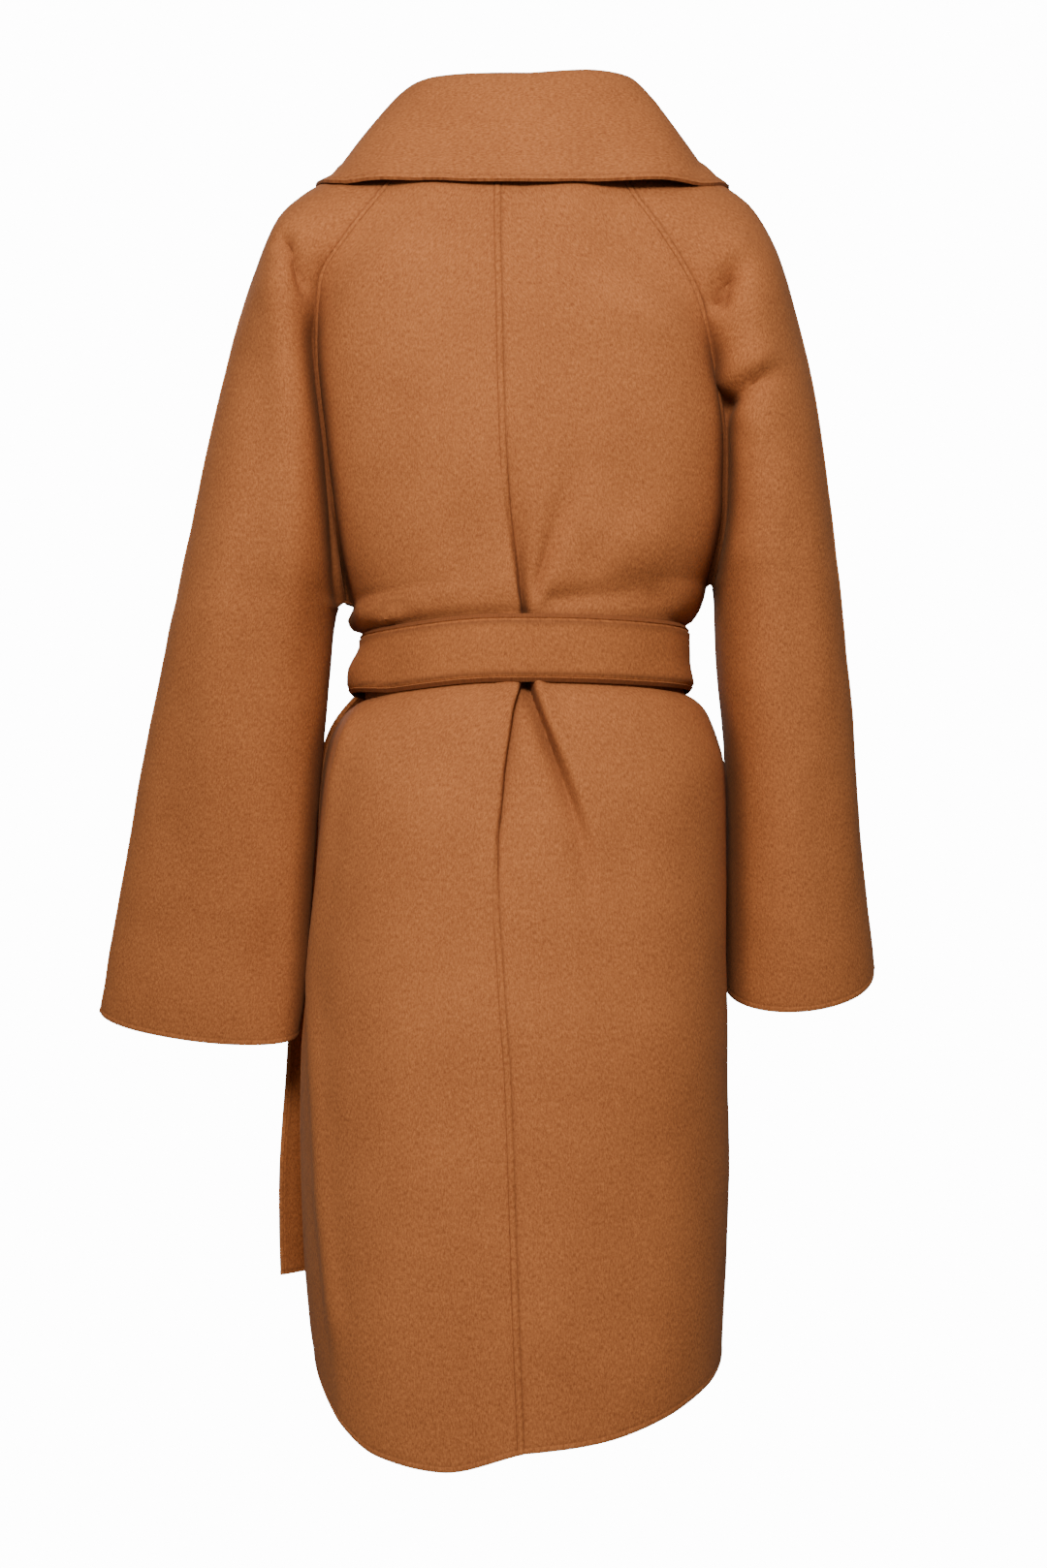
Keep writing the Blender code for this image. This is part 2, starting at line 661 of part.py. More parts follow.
def collar_stations(side):
    """One list of numbers for each station of the collar: length along the neckline, the
    roll, the outer edge, and the collar's heading where it leaves the seam and the roll."""
    line, reached = neckline(side)
    stations = []
    for place in range(len(COLLAR["path"])):
        at = {name: values[place] for name, values in COLLAR.items()}
        if side == "right":
            at["path"] += NECK_SHIFT * ease(at["path"] / COLLAR["path"][3])
        seam = along(line, [at["path"] / length(line)])[0]
        shift = outward(side, ROLL_SHIFT) * (1 - ease((at["path"] - 0.04) / 0.06))
        rise = ROLL_RISE * ease(at["path"] / 0.04) * (1 - ease((at["path"] - 0.09) / 0.04))
        roll = Vector((at["roll_x"] + shift, at["roll_y"],
                       at["roll_z"] + (rise if side == "right" else 0.0)))
        hem = Vector((at["edge_x"], at["edge_y"], at["edge_z"]))
        if side == "right":
            hem.x -= COLLAR_NARROW * ease(at["path"] / COLLAR["path"][3])
        away = Vector((hem.x - roll.x, hem.y - roll.y, 0)).normalized()
        rise = (roll - seam) * 0.5 - away * 0.002
        nose = away * (hem - roll).length * (0.22 - 0.13 * ease(at["path"] / COLLAR["path"][2]))
        stations.append([at["path"], *roll, *hem, *rise, *nose])
    corner, top = hem, LAPEL["row"][0] / MM / 1000
    for place in range(-3, 3 * len(LAPEL[side]) - 2):
        row = smooth(LAPEL["row"], place / 3) / MM / 1000 if place > 0 else top * (1 + place / 4)
        start, tucked = lapel_start(side, row)
        roll = off_front(side, row, start + ROLL, COLLAR_LIFT)
        outer = max(smooth(LAPEL[side], max(0, place) / 3), start + 3 * ROLL)
        hem = off_front(side, max(row, top), outer, COLLAR_LIFT)
        hem = hem.lerp(corner, max(0.0, 1 - row / top))
        rise = Vector((ROLL * (2 * tucked - 1), 0, 0))
        after = next(i for i, r in enumerate(YOKE_ROWS) if r >= row)
        share = (row - YOKE_ROWS[after - 1]) / (YOKE_ROWS[after] - YOKE_ROWS[after - 1])
        path = reached[after - 1] + (reached[after] - reached[after - 1]) * share
        stations.append([path, *roll, *hem, *rise, ROLL, 0.0, 0.0])
    return line, stations


def clear_of(coat, points, shares):
    """The points, each moved out until it clears the coat by its share of the lift."""
    for p, share in list(zip(points, shares)) * 3:
        near, facing, _, _ = coat.find_nearest(p)
        p += facing * max(0.0, COLLAR_LIFT * share - (p - near).dot(facing))
    return points


def collar_row(side, line, numbers, coat):
    """A section of the collar: the stand up to the roll, and the fall clear of the coat."""
    share = numbers[0] / length(line)
    seam = along(line, [share])[0]
    way = along(line, [min(1, share + 0.01)])[0] - along(line, [max(0, share - 0.01)])[0]
    roll, hem, rise, nose = (Vector(numbers[i:i + 3]) for i in (1, 4, 7, 10))
    found = coat.find_nearest(mirrored([seam], side)[0])
    normal = mirrored([found[1]], side)[0]
    standing = ease(rise.normalized().dot(normal) * 1.5)
    roll = mirrored(clear_of(coat, mirrored([roll], side), [1]), side)[0]
    seam += way.cross(normal).normalized() * COLLAR_SEAM * (1 + standing)
    seam += normal * COLLAR_SEAM * (0.5 + standing)
    stand = bezier(seam, seam + rise, roll - nose.normalized() * 0.007, roll)
    fall = bezier(roll, roll + nose, hem - (hem - roll) * 0.42 + Vector((0, 0, -0.002)), hem)
    points = along(stand, even(STAND_COLUMNS)) + along(fall, even(FALL_COLUMNS))[1:]
    shares = [max(ease(u), 0.6 * standing) for u in even(STAND_COLUMNS)] + [1] * FALL_COLUMNS
    return clear_of(coat, mirrored(points, side), shares)


def make_collar(coat):
    halves = []
    for side in ("left", "right"):
        line, stations = collar_stations(side)
        places = []
        for k, (a, b) in enumerate(zip(stations, stations[1:])):
            apart = max((Vector(a[i:i + 3]) - Vector(b[i:i + 3])).length for i in (1, 4))
            pieces = max(1, math.ceil(apart / ROW_STEP * 0.9))
            places += [k + n / pieces for n in range(pieces)]
        columns = list(zip(*stations))
        halves.append([collar_row(side, line, [smooth(c, place) for c in columns], coat)
                       for place in places + [len(stations) - 1]])
    left, right = halves
    for a, b in zip(left[0], right[0]):
        a.x = b.x = (a.x + b.x) / 2
    lay("collar", right[::-1] + left[1:], WALL)


def lay(name, rows, wall, flip=False):
    """A piece of its own, laid out on rows of points and given its wall."""
    sheet = grid_mesh(rows, 0)
    if flip:
        bmesh.ops.reverse_faces(sheet, faces=sheet.faces)
    whole = join([sheet])
    whole.normal_update()
    whole.verts.index_update()
    cut_piece(whole, 0, name, wall)
    whole.free()


def waist_ring(count, lift):
    """Points round the waist, off the coat's middle surface, from centre back by the left."""
    row = UNDERARM + BODY["z"].index(-0.425)
    halves = []
    for side in ("left", "right"):
        back = section(side, row, "back")
        front = section(side, row, "front")[::-1]
        halves.append(mirrored(back + front[1:], side))
    loop = halves[0] + halves[1][::-1][1:-1]
    ring = along(loop + [loop[0]], even(count))[:-1]
    placed = []
    for k, p in enumerate(ring):
        way = ring[(k + 1) % count] - ring[k - 1]
        out = Vector((way.y, -way.x, 0)).normalized()
        if out.dot(p) < 0:
            out = -out
        extra = LAP_CLEARANCE / 2 * ease(-p.y / 0.03)
        placed.append(p + out * (lift + extra))
    return placed


def make_belt():
    ring = waist_ring(BELT_COLUMNS, BELT_LIFT)
    rows = []
    for share in even(3):
        z = BELT_TOP - BELT_WIDTH * share
        rows.append([Vector((p.x, p.y, z - belt_sag("left" if p.x > 0 else "right", abs(p.x))))
                     for p in ring + [ring[0]]])
    lay("belt_band", rows, BELT_WALL, flip=True)


def make_tails():
    for name, lines in TAILS.items():
        places = row_positions(lines["z"])
        rows = []
        for place in places:
            z = smooth(lines["z"], place)
            a = Vector((smooth(lines["out_x"], place), smooth(lines["out_y"], place), z))
            b = Vector((smooth(lines["in_x"], place), smooth(lines["in_y"], place), z))
            rows.append([a.lerp(b, u) for u in even(4)])
        lay(name, rows, BELT_WALL)


def make_knot():
    """The half knot, a rounded lump of belt cloth bulging over the band."""
    lump = bmesh.new()
    bmesh.ops.create_uvsphere(lump, u_segments=16, v_segments=10, radius=1.0)
    for v in lump.verts:
        shape = [math.copysign(abs(c) ** 0.7, c) for c in v.co]
        v.co = Vector((shape[0] * KNOT["wide"] / 2, shape[1] * KNOT["deep"] / 2,
                       shape[2] * KNOT["high"] / 2))
    facing = math.atan2(-KNOT["y"] * 1.3, KNOT["x"])
    bmesh.ops.rotate(lump, verts=lump.verts, cent=(0, 0, 0),
                     matrix=Matrix.Rotation(math.pi / 2 - facing, 3, "Z"))
    bmesh.ops.translate(lump, verts=lump.verts, vec=(KNOT["x"], KNOT["y"], KNOT["z"]))
    mesh = bpy.data.meshes.new("belt_knot")
    lump.to_mesh(mesh)
    lump.free()
    mesh.materials.append(wool("belt_knot_wool", CAMEL))
    mesh.shade_smooth()
    bpy.context.scene.collection.objects.link(bpy.data.objects.new("belt_knot", mesh))


def panel_row(name, side, row):
    """One row of a panel's points, the same wherever two panels meet."""
    if name == "back":
        columns = crowded(BACK_COLUMNS, row)
        step = columns[-1] - columns[-2]
        return back_row(side, row, columns[:-1] + [1 - step * 0.55, 1 - step * 0.25, 1.0])
    if name == "front":
        return front_row(side, row, crowded(FRONT_COLUMNS, row))
    return sleeve_row(side, row, name.split("_")[1], crowded(SLEEVE_COLUMNS, row))


def make_shell():
    """The backs, fronts and sleeves, laid out as one sheet and cut at the seams."""
    body_rows = row_positions(BODY["z"], UNDERARM)[1:]
    sheets, names = [], []
    for side in ("left", "right"):
        arm_rows = row_positions(SLEEVE[side]["iz"], UNDERARM)[1:]
        for name, lower in (("back", body_rows), ("front", body_rows),
                            ("sleeve_back", arm_rows), ("sleeve_front", arm_rows)):
            sheet = grid_mesh([panel_row(name, side, r) for r in YOKE_ROWS + lower], len(names))
            if side == "right":
                bmesh.ops.reverse_faces(sheet, faces=sheet.faces)
            sheets.append(sheet)
            names.append(name + "_" + side)
    whole = join(sheets)
    whole.normal_update()
    whole.verts.index_update()
    for layer, name in enumerate(names):
        cut_piece(whole, layer, name, WALL)
    coat = BVHTree.FromBMesh(whole)
    whole.free()
    return coat


for old in list(bpy.data.objects):
    bpy.data.objects.remove(old)
make_collar(make_shell())
make_belt()
make_knot()
make_tails()
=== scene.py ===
# %% [markdown]
# # A wool wrap coat, worn and hollow
#
# The coat is double-faced wool: two thin layers woven as one cloth, so it needs no lining
# and its edges are turned in and sewn by hand. Raglan sleeves run up to the neck, a wide
# shawl collar is folded over, and a belt of the same cloth ties at the wearer's left front.
# This lesson builds each cut piece as a thin sheet, lays all of them out on one common
# form so that the seams close, presses folds and seam ridges into it, and gives it a wall.

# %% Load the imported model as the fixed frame
import math

import bmesh
import bpy
import numpy as np
from mathutils import Matrix, Vector, noise
from mathutils.bvhtree import BVHTree


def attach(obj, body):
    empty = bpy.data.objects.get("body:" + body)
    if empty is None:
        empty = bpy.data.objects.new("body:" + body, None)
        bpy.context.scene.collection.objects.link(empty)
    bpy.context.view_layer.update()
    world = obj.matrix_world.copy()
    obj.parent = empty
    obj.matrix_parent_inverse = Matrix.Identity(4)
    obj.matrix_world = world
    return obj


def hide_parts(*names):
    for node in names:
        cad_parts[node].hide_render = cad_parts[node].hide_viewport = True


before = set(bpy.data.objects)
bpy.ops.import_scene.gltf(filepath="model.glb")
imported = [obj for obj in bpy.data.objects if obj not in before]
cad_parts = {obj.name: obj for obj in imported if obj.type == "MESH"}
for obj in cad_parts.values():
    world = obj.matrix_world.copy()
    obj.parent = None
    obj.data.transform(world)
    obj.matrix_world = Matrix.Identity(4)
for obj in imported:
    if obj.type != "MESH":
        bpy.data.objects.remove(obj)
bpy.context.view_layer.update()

MM = 0.001
print("parts in the frame:", ", ".join(sorted(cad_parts)))

# %% [markdown]
# ## The camera
#
# The coat is looked at from behind, a little below its waist, from almost two metres. A
# long lens keeps the sleeves from spreading towards the edges. The camera could also be
# aimed with a constraint, but a plain location and turn stay readable and repeatable.

# %% Place the camera behind the coat
PICTURE = (1080, 1618)         # the frame's width and height
FOCAL = 2371                   # focal length, in the same units as the frame
HORIZON = 850                  # height of the eye line from the frame's top
STAND_AT = (0.0, 1.9, -0.561)  # where the camera stands, in metres
lens = bpy.data.cameras.new("camera")
camera = bpy.data.objects.new("camera", lens)
bpy.context.scene.collection.objects.link(camera)
camera.location = STAND_AT
camera.rotation_euler = (math.pi / 2, 0.0, math.pi)
lens.sensor_fit = "VERTICAL"
lens.sensor_height = 36.0
lens.lens = lens.sensor_height * FOCAL / PICTURE[1]
lens.shift_y = (HORIZON - PICTURE[1] / 2) / PICTURE[1]
bpy.context.scene.camera = camera
print(f"lens {lens.lens:.1f} mm, shift {lens.shift_y:.4f}")

# %% [markdown]
# ## The form that the cloth takes
#
# A worn coat is a stack of sections. Each table row below gives one section: where the
# back seam lies, how deep and wide the body is, where the armhole seams run and how far
# the sleeve swells. A smooth curve is drawn through each column, so the cloth can be laid
# out as finely as it needs. Sculpting would also work, but named sizes can be changed.

# %% Sizes of the cloth and its seams
WALL = 2.5 * MM                # thickness of the double-faced wool
ROLL_SHIFT = -6.0 * MM         # the roll at the nape sits this far to the wearer's right
ROLL_RISE = 3.0 * MM           # and its right shoulder stands this much higher
NECK_SHIFT = 15.5 * MM         # the neckline is this much longer right of the back seam
UNDERARM = 8                   # the yoke table's last row, where sleeve and body part
HEM_START = 800.0 * MM         # below this depth the rows bend to the hem's own line
LAP_CLEARANCE = 6.4 * MM       # between the two fronts' middles where they lap
LAP_RAMP = (0.95, 0.78)        # shares of the half width between which a front moves over
COLLAR_SEAM = 2.2 * MM         # between the neckline and the collar's cut edge
COLLAR_LIFT = 6.3 * MM         # the collar's middle off the coat's middle surface
COLLAR_NARROW = 4.0 * MM       # the collar's edge lies this much closer in at the right
BELT_WIDTH = 50.0 * MM
BELT_WALL = 4.0 * MM           # two layers of wool
BELT_TOP = -399.5 * MM
BELT_MIDDLE = -425.0 * MM      # the body table's row that the belt goes round
BELT_LIFT = 4.2 * MM           # belt's middle off the coat's middle surface
BELT_DROP = {"left": 7.0 * MM, "right": 1.5 * MM}   # how far the belt sags at each side
SAG = (20.0 * MM, 110.0 * MM)  # it starts to sag this far from the middle, and does over this
SAG_FADE = (-520.0 * MM, 60.0 * MM)   # the cloth below follows it down to here
ROW_STEP = 5.0 * MM            # longest row of faces down the cloth


def table(columns, *rows):
    """A table in millimetres, kept as one list of metres for each named column."""
    names = columns.split()
    return {name: [row[i] * MM for row in rows if row[i] is not None]
            for i, name in enumerate(names)}


# %% Tables of the body, the sleeves and the collar
# the middle of the yoke: centre back, centre front, the front edge's half width, and how
# far that edge is shifted with the neck towards the wearer's left
YOKE_CENTRE = table(
    "back_z seam  back  front_z front edge shift",
    (0,     12,   79,   -70,    62,   58,  2),
    (-55,   18,   117,  -112,   86,   52,  5),
    (-100,  18,   130,  -143,   99,   45,  6),
    (-142,  17,   136,  -178,   109,  35,  6),
    (-192,  16,   138,  -218,   115,  18,  5),
    (-248,  14.5, 137,  -264,   117,  -8,  3),
    (-302,  12,   133,  -309,   115,  -40, 1),
    (-345,  8,    128,  -347,   112,  -72, 0),
    (-368,  5.5,  126,  -368,   110,  -84, 0),
)

YOKE_COLUMNS = ("bx by bz b_turn b_fold b_lead b_swell ox oy oz over "
                "fx fy fz f_turn f_fold f_lead f_swell gap")
# back seam, its floor's heading and fold (in thousandths of a right angle), handles of the
# sleeve's back; the overarm line; the same for the front; half the valley's width
YOKE = {
    "left": table(
        YOKE_COLUMNS,
        (58,  62,  4,    -500, 0,    8,   22,  77,  4,   15,   0,
         79,  -48, -10,  -600, 0,    8,   22,  4.0),
        (108, 104, -62,  -250, 0,    22,  52,  134, 4,   -21,  60,
         122, -84, -68,  -300, 0,    22,  46,  4.0),
        (139, 108, -102, -80,  200,  34,  78,  184, 1,   -49,  90,
         146, -92, -112, -100, 200,  34,  70,  4.0),
        (161, 98,  -138, 0,    560,  46,  92,  209.5, -2,  -94,  120,
         158, -86, -150, 0,    560,  50,  88,  3.8),
        (165, 78,  -194, 0,    880,  62,  104, 234, -4,  -158, 150,
         160, -70, -200, 0,    880,  66,  104, 3.6),
        (160, 60,  -252, 0,    980,  78,  112, 252.5, -7,  -224, 130,
         156, -56, -258, 0,    980,  84,  116, 3.6),
        (155, 42,  -308, 0,    1000, 92,  116, 269, -10, -298, 100,
         152, -40, -312, 0,    1000, 100, 120, 4.4),
        (150, 20,  -358, 0,    1000, 102, 115, 280.5, -12, -352, 80,
         149, -20, -358, 0,    1000, 112, 122, 7.0),
        (148, 0,   -378, 0,    1000, 112, 116, 285.6, -13, -378, 70,
         148, 0,   -378, 0,    1000, 120, 122, 8.5),
    ),
    "right": table(
        YOKE_COLUMNS,
        (52,  62,  4,    -500, 0,    8,   24,  72,  4,   15,   0,
         74,  -48, -10,  -600, 0,    8,   24,  4.0),
        (83,  106, -62,  -250, 0,    24,  54,  130, 4,   -18,  60,
         100, -84, -68,  -300, 0,    24,  48,  4.0),
        (112, 112, -104, -80,  60,   34,  78,  174.5, 2,   -48,  80,
         128, -92, -112, -100, 200,  34,  70,  4.0),
        (138, 108, -150, 0,    360,  46,  94,  203.5, -1,  -91,  90,
         146, -86, -152, 0,    560,  50,  88,  3.4),
        (152, 88,  -204, 0,    840,  60,  104, 230, -4,  -176, 110,
         156, -70, -204, 0,    880,  66,  104, 3.2),
        (161, 66,  -256, 0,    980,  76,  112, 243, -6,  -240, 130,
         160, -56, -260, 0,    980,  84,  116, 3.2),
        (162, 44,  -306, 0,    1000, 92,  118, 251.5, -8,  -300, 120,
         162, -42, -310, 0,    1000, 100, 120, 3.2),
        (157, 20,  -346, 0,    1000, 108, 122, 257, -10, -344, 110,
         157, -20, -348, 0,    1000, 112, 124, 3.6),
        (154, 0,   -362, 0,    1000, 121, 126, 259.8, -11, -362, 100,
         154, 0,   -362, 0,    1000, 124, 127, 4.6),
    ),
}

# the sleeves below the underarm: inner line, outer line, swell to back and front, how far
# the ring drops per metre towards the back, and how far back the overarm seam lies
SLEEVE_COLUMNS = "ix iy iz ox oy oz back front tilt over"
SLEEVE = {
    "left": table(
        SLEEVE_COLUMNS,
        (148, 0,   -378,   285.6, -13, -378, 118, 126, 0, 70),
        (154, 0,   -382,   287.6, -13, -386, 118, 124, 10, 70),
        (157, -1,  -394,   291.4, -15, -400, 116, 121, 20,  65),
        (162, -4,  -440,   302, -22, -442, 105, 108, 50,  60),
        (168, -7,  -510,   318, -34, -512, 87,  90,  100, 50),
        (174, -10, -580,   332.4, -44, -582, 70,  74,  180, 40),
        (179, -12, -650,   346.2, -53, -652, 58,  62,  260, 30),
        (184, -13, -701,   354.8, -58, -706, 50,  53,  330, 20),
        (188.5, -14, -727, 360, -62, -728.5, 46,  49,  370, 20),
    ),
    "right": table(
        SLEEVE_COLUMNS,
        (154, 0,   -362,   259.8, -11, -362, 125, 127, 0, 100),
        (158, 0,   -366,   260.3, -11, -366, 125, 127, 10, 100),
        (159.5, -1, -378,  261.8, -12, -378, 123, 126, 20,  100),
        (162, -6,  -436,   267.4, -18, -436, 117, 120, 60, 90),
        (168, -13, -505,   274, -26, -503, 108, 111, 130, 80),
        (169.8, -20, -572, 280, -34, -568, 100, 103, 230, 60),
        (169.6, -27, -634, 287.5, -40, -630, 92,  95,  320, 40),
        (169.8, -32, -694, 294.3, -45, -685, 84,  87,  400, 20),
    ),
}

# the body below the underarm: height, centre-back seam, half widths, depths, front edge
BODY = table(
    "z    seam  left   right  back front edge",
    (-368, 5.5,  139.5, 149.5, 126, 110, -84),
    (-374, 5,    139.5, 148.5, 126, 110, -86),
    (-384, 4,    144.5, 144.5, 124, 109, -89),
    (-392, 2.5,  140.5, 137.5, 121, 108, -91),
    (-398, 1.5,  129,   130.5, 117, 106, -93),
    (-425, 1,    129,   130.5, 117, 106, -96),
    (-453, 4,    129,   131,   117, 106, -97),
    (-458, 5,    138,   140,   122, 112, -98),
    (-466, 7,    148,   148,   127, 118, -98),
    (-489, 12,   161,   158,   136, 129, -98),
    (-521, 16.5, 166,   165,   144, 137, -98),
    (-570, 20,   169,   166,   153, 144, -98),
    (-620, 19,   171.5, 165.8, 161, 150, -98),
    (-664, 16,   174,   165.5, 167, 155, -98),
    (-710, 13,   178,   166,   173, 159, -98),
    (-750, 10,   182,   166.5, 177, 161, -98),
    (-800, 8,    183,   167.5, 181, 163, -98),
    (-860, 6,    182.5, 167,   185, 165, -98),
    (-920, 4,    181,   165.5, 189, 166, -98),
    (-980, 1.5,  177,   163.5, 192, 167, -98),
    (-1020, 0,   172,   161.5, 193, 167, -98),
)

# the pleat at the back below the belt: its sharp edge and its soft edge
PLEAT = table(
    "z    sharp soft",
    (-452, 5,    -7),
    (-471, 10.5, -13.5),
    (-498, 14.5, -24),
    (-520, 17.6, -32.5),
    (-549, 19.5, -42),
    (-570, 21.7, -48),
    (-660, 22,   -62),
)

# the hem's height from a panel's centre line (first row) to its side (last row)
HEM = table(
    "back_left back_right front_left front_right",
    (-1029,    -1029,     -1002,     -1002),
    (-1045,    -1023,     -1000,     -1001),
    (-1040,    -1012.5,   -996,      -999),
    (-1021,    -1002,     -990,      -995),
    (-1000,    -994,      -985,      -990),
    (-985,     -989,      -985,      -989),
)

# the collar's roll line and outer edge, from centre back round the shoulder to the chest,
# at lengths along the neckline
COLLAR = table(
    "path  roll_x roll_y roll_z edge_x edge_y edge_z",
    (0,    0,     86,    30.5,    0,     130,   -65),
    (40,   46,    79,    33,  56,    126,   -64),
    (72,   80,    60,    34.5,    115,   113,   -59),
    (98,   93,    34,    32,    154,   79,    -57),
    (122,  96,    4,     29,    170,   12,    -49),
    (150,  91,    -34,   18,    168,   -46,   -58),
    (180,  82,    -63,   -4,    161,   -78,   -62),
    (195,  77,    -71,   -16,   163,   -82,   -63),
    (210,  71,    -80,   -31,   162,   -85,   -66),
    (230,  65,    -88,   -52,   161,   -89,   -71),
)
# the lapels: yoke row (in thousandths) and the outer edge's half width
LAPEL = table(
    "row   left right",
    (2000, 154, 148),
    (2900, 150, 146),
    (3800, 142, 142),
    (4800, 118, 124),
    (5600, 92,  98),
    (6200, 66,  72),
    (6700, None, 38),
    (7200, None, -10),
    (7600, None, -58),
)
LAPEL_TUCK = 9.0 * MM          # the left lapel ends this far short of the front over it
ROLL = 4.5 * MM                # how far the lapels' turned edge bulges past the fronts

# %% Tables of the knot and the belt's ends
KNOT = {"x": 115.6 * MM, "y": -83.7 * MM, "z": -424 * MM, "wide": 52 * MM, "high": 62 * MM,
        "deep": 20 * MM}
TAILS = {
    "belt_tail_long": table(
        "z    out_x  out_y in_x in_y",
        (-445.5, 138.6, -75.6, 117.6, -96.6),
        (-480, 166,  -84,  138, -116),
        (-540, 183,  -86,  152, -123),
        (-620, 195,  -87,  162, -124),
        (-700, 201,  -88,  168, -124),
        (-780, 205.5, -89, 171, -124),
        (-870, 209,  -90,  174, -125),
        (-952, 208,  -91,  173, -127),
    ),
    "belt_tail_short": table(
        "z    out_x  out_y in_x in_y",
        (-445, 113.2, -99.9, 91.2, -116.9),
        (-480, 126,  -132, 88,  -158),
        (-540, 131,  -150, 90,  -176),
        (-620, 134,  -160, 92,  -187),
        (-700, 136,  -167, 93,  -194),
        (-760, 137,  -171, 94,  -198),
    ),
}
FULL = {"back": (0.66, 0.62), "front": (0.62, 0.60)}   # handles of a quarter section, at its
                                                       # centre and at its side
print("tables read:", ", ".join(["yoke", "sleeve", "body", "pleat", "hem", "collar", *TAILS]))

# %% [markdown]
# ## Curves through the tables
#
# A few small helpers read a table at any height, bend a quarter of a section, and space
# points by their distance along a line. Where two pieces meet, the columns crowd to less
# than a millimetre, because a sewn seam is a ridge only four millimetres wide.

# %% Helpers for smooth curves
def slope(values, i):
    """Slope of a smooth curve through the values at i, flat at peaks and hollows."""
    if i == 0 or i == len(values) - 1:
        j = min(i, len(values) - 2)
        return values[j + 1] - values[j]
    before, after = values[i] - values[i - 1], values[i + 1] - values[i]
    return 0.0 if before * after <= 0 else 2 * before * after / (before + after)


def smooth(values, position):
    """The values as a smooth curve, read at a row position with a fraction."""
    i = max(0, min(len(values) - 2, int(position)))
    t = position - i
    a, b = values[i], values[i + 1]
    return (a * (1 + 2 * t) * (1 - t) ** 2 + b * t * t * (3 - 2 * t)
            + slope(values, i) * t * (1 - t) ** 2 - slope(values, i + 1) * t * t * (1 - t))


def at_row(rows, letter, row):
    """The point that a table's x, y and z columns give at a row position."""
    return Vector([smooth(rows[letter + axis], row) for axis in "xyz"])


def share_at(values, row):
    """A share that a table keeps in thousandths, read at a row position."""
    return smooth(values, row) / MM / 1000


def ease(t):
    t = max(0.0, min(1.0, t))
    return t * t * (3 - 2 * t)


def ramp(x, span):
    """Eases from 0 to 1 from span[0], over span[1], which is negative on the way down."""
    return ease((x - span[0]) / span[1])


def bump(x, centre, width):
    return math.exp(-((x - centre) / width) ** 2)


def bezier(a, b, c, d, steps=72):
    return [a * (1 - t) ** 3 + b * 3 * t * (1 - t) ** 2 + c * 3 * t * t * (1 - t) + d * t ** 3
            for t in (i / steps for i in range(steps + 1))]


def length(points):
    return sum((b - a).length for a, b in zip(points, points[1:]))


def along(points, fractions):
    """Points at the given shares of a polyline's length."""
    reach = [0.0]
    for a, b in zip(points, points[1:]):
        reach.append(reach[-1] + (b - a).length)
    found, i = [], 0
    for fraction in fractions:
        want = fraction * reach[-1]
        while i < len(points) - 2 and reach[i + 1] < want:
            i += 1
        step = reach[i + 1] - reach[i]
        found.append(points[i].lerp(points[i + 1], (want - reach[i]) / step if step else 0.0))
    return found


def even(count):
    return [i / count for i in range(count + 1)]


# %% Columns that crowd at the seams
NEAR = [d * MM for d in (0, 0.8, 1.6, 2.4, 3.3, 4.2, 5.2, 7, 10)]
FINE = {"back": 56, "front": 50, "sleeve": 30}     # columns between the crowded ends
DENSER, BESIDE = 4, 14.0 * MM  # columns are this much denser at a fold, over this half width
LEEWAY = 0.2                   # share of a step by which a row may be too long
APART = 0.02                   # least distance from an even row to a crowded one, in rows


def shares(reach, count, fold=None):
    """Shares of a row's length, crowded at both ends where the row is sewn, and round a
    fold that runs at this distance from the row's start."""
    tight = min(1.0, reach / (4 * NEAR[-1]))
    near = [d * tight for d in NEAR]
    spots = even(count)
    if fold is not None:
        fine = np.linspace(0.0, 1.0, 400)
        packed = np.cumsum(1 + DENSER * np.exp(-((fine * reach - fold) / BESIDE) ** 2))
        spots = np.interp(spots, (packed - packed[0]) / (packed[-1] - packed[0]), fine)
    middle = [near[-1] + (reach - 2 * near[-1]) * float(t) for t in spots]
    return [d / reach for d in near[:-1] + middle + [reach - d for d in near[:-1][::-1]]]


def row_positions(heights, first=0.0, step=ROW_STEP):
    """Row positions that cut each table step into pieces of about the step's length."""
    places = [first]
    for i, (a, b) in enumerate(zip(heights, heights[1:])):
        pieces = max(1, math.ceil(abs(b - a) / step - LEEWAY))
        places += [first + i + (k + 1) / pieces for k in range(pieces)]
    return places


def crowded_end(places, last_step):
    """The row positions again, the last ones crowded like the columns at a seam."""
    near = [places[-1] - d / last_step for d in NEAR]
    return [p for p in places if p < near[-1] - APART] + near[::-1]


YOKE_ROWS = row_positions(YOKE["left"]["bz"])
print(len(YOKE_ROWS), "rows down the yoke")

# %% [markdown]
# ## Sections of the body and the sleeves
#
# Under the arm the sleeve and the body part at a deep valley. It is drawn as two small
# arcs that turn away from the seam, one onto the body and one onto the sleeve, and the
# rest of each section is a curve with handles. The same functions give both neighbours of
# every seam, so the pieces meet point for point.

# %% The armhole valley and the body's sections
SECTION_DROP = (0.3, 0.8)      # share of a section's drop that its two handles have reached
SLEEVE_DROP = 0.35             # the same for the outer handles of a sleeve


def heading(turn):
    """Unit vector in the plane of a row; turn is in right angles from outward to back."""
    angle = turn * math.pi / 2
    return Vector((math.cos(angle), math.sin(angle), 0.0))


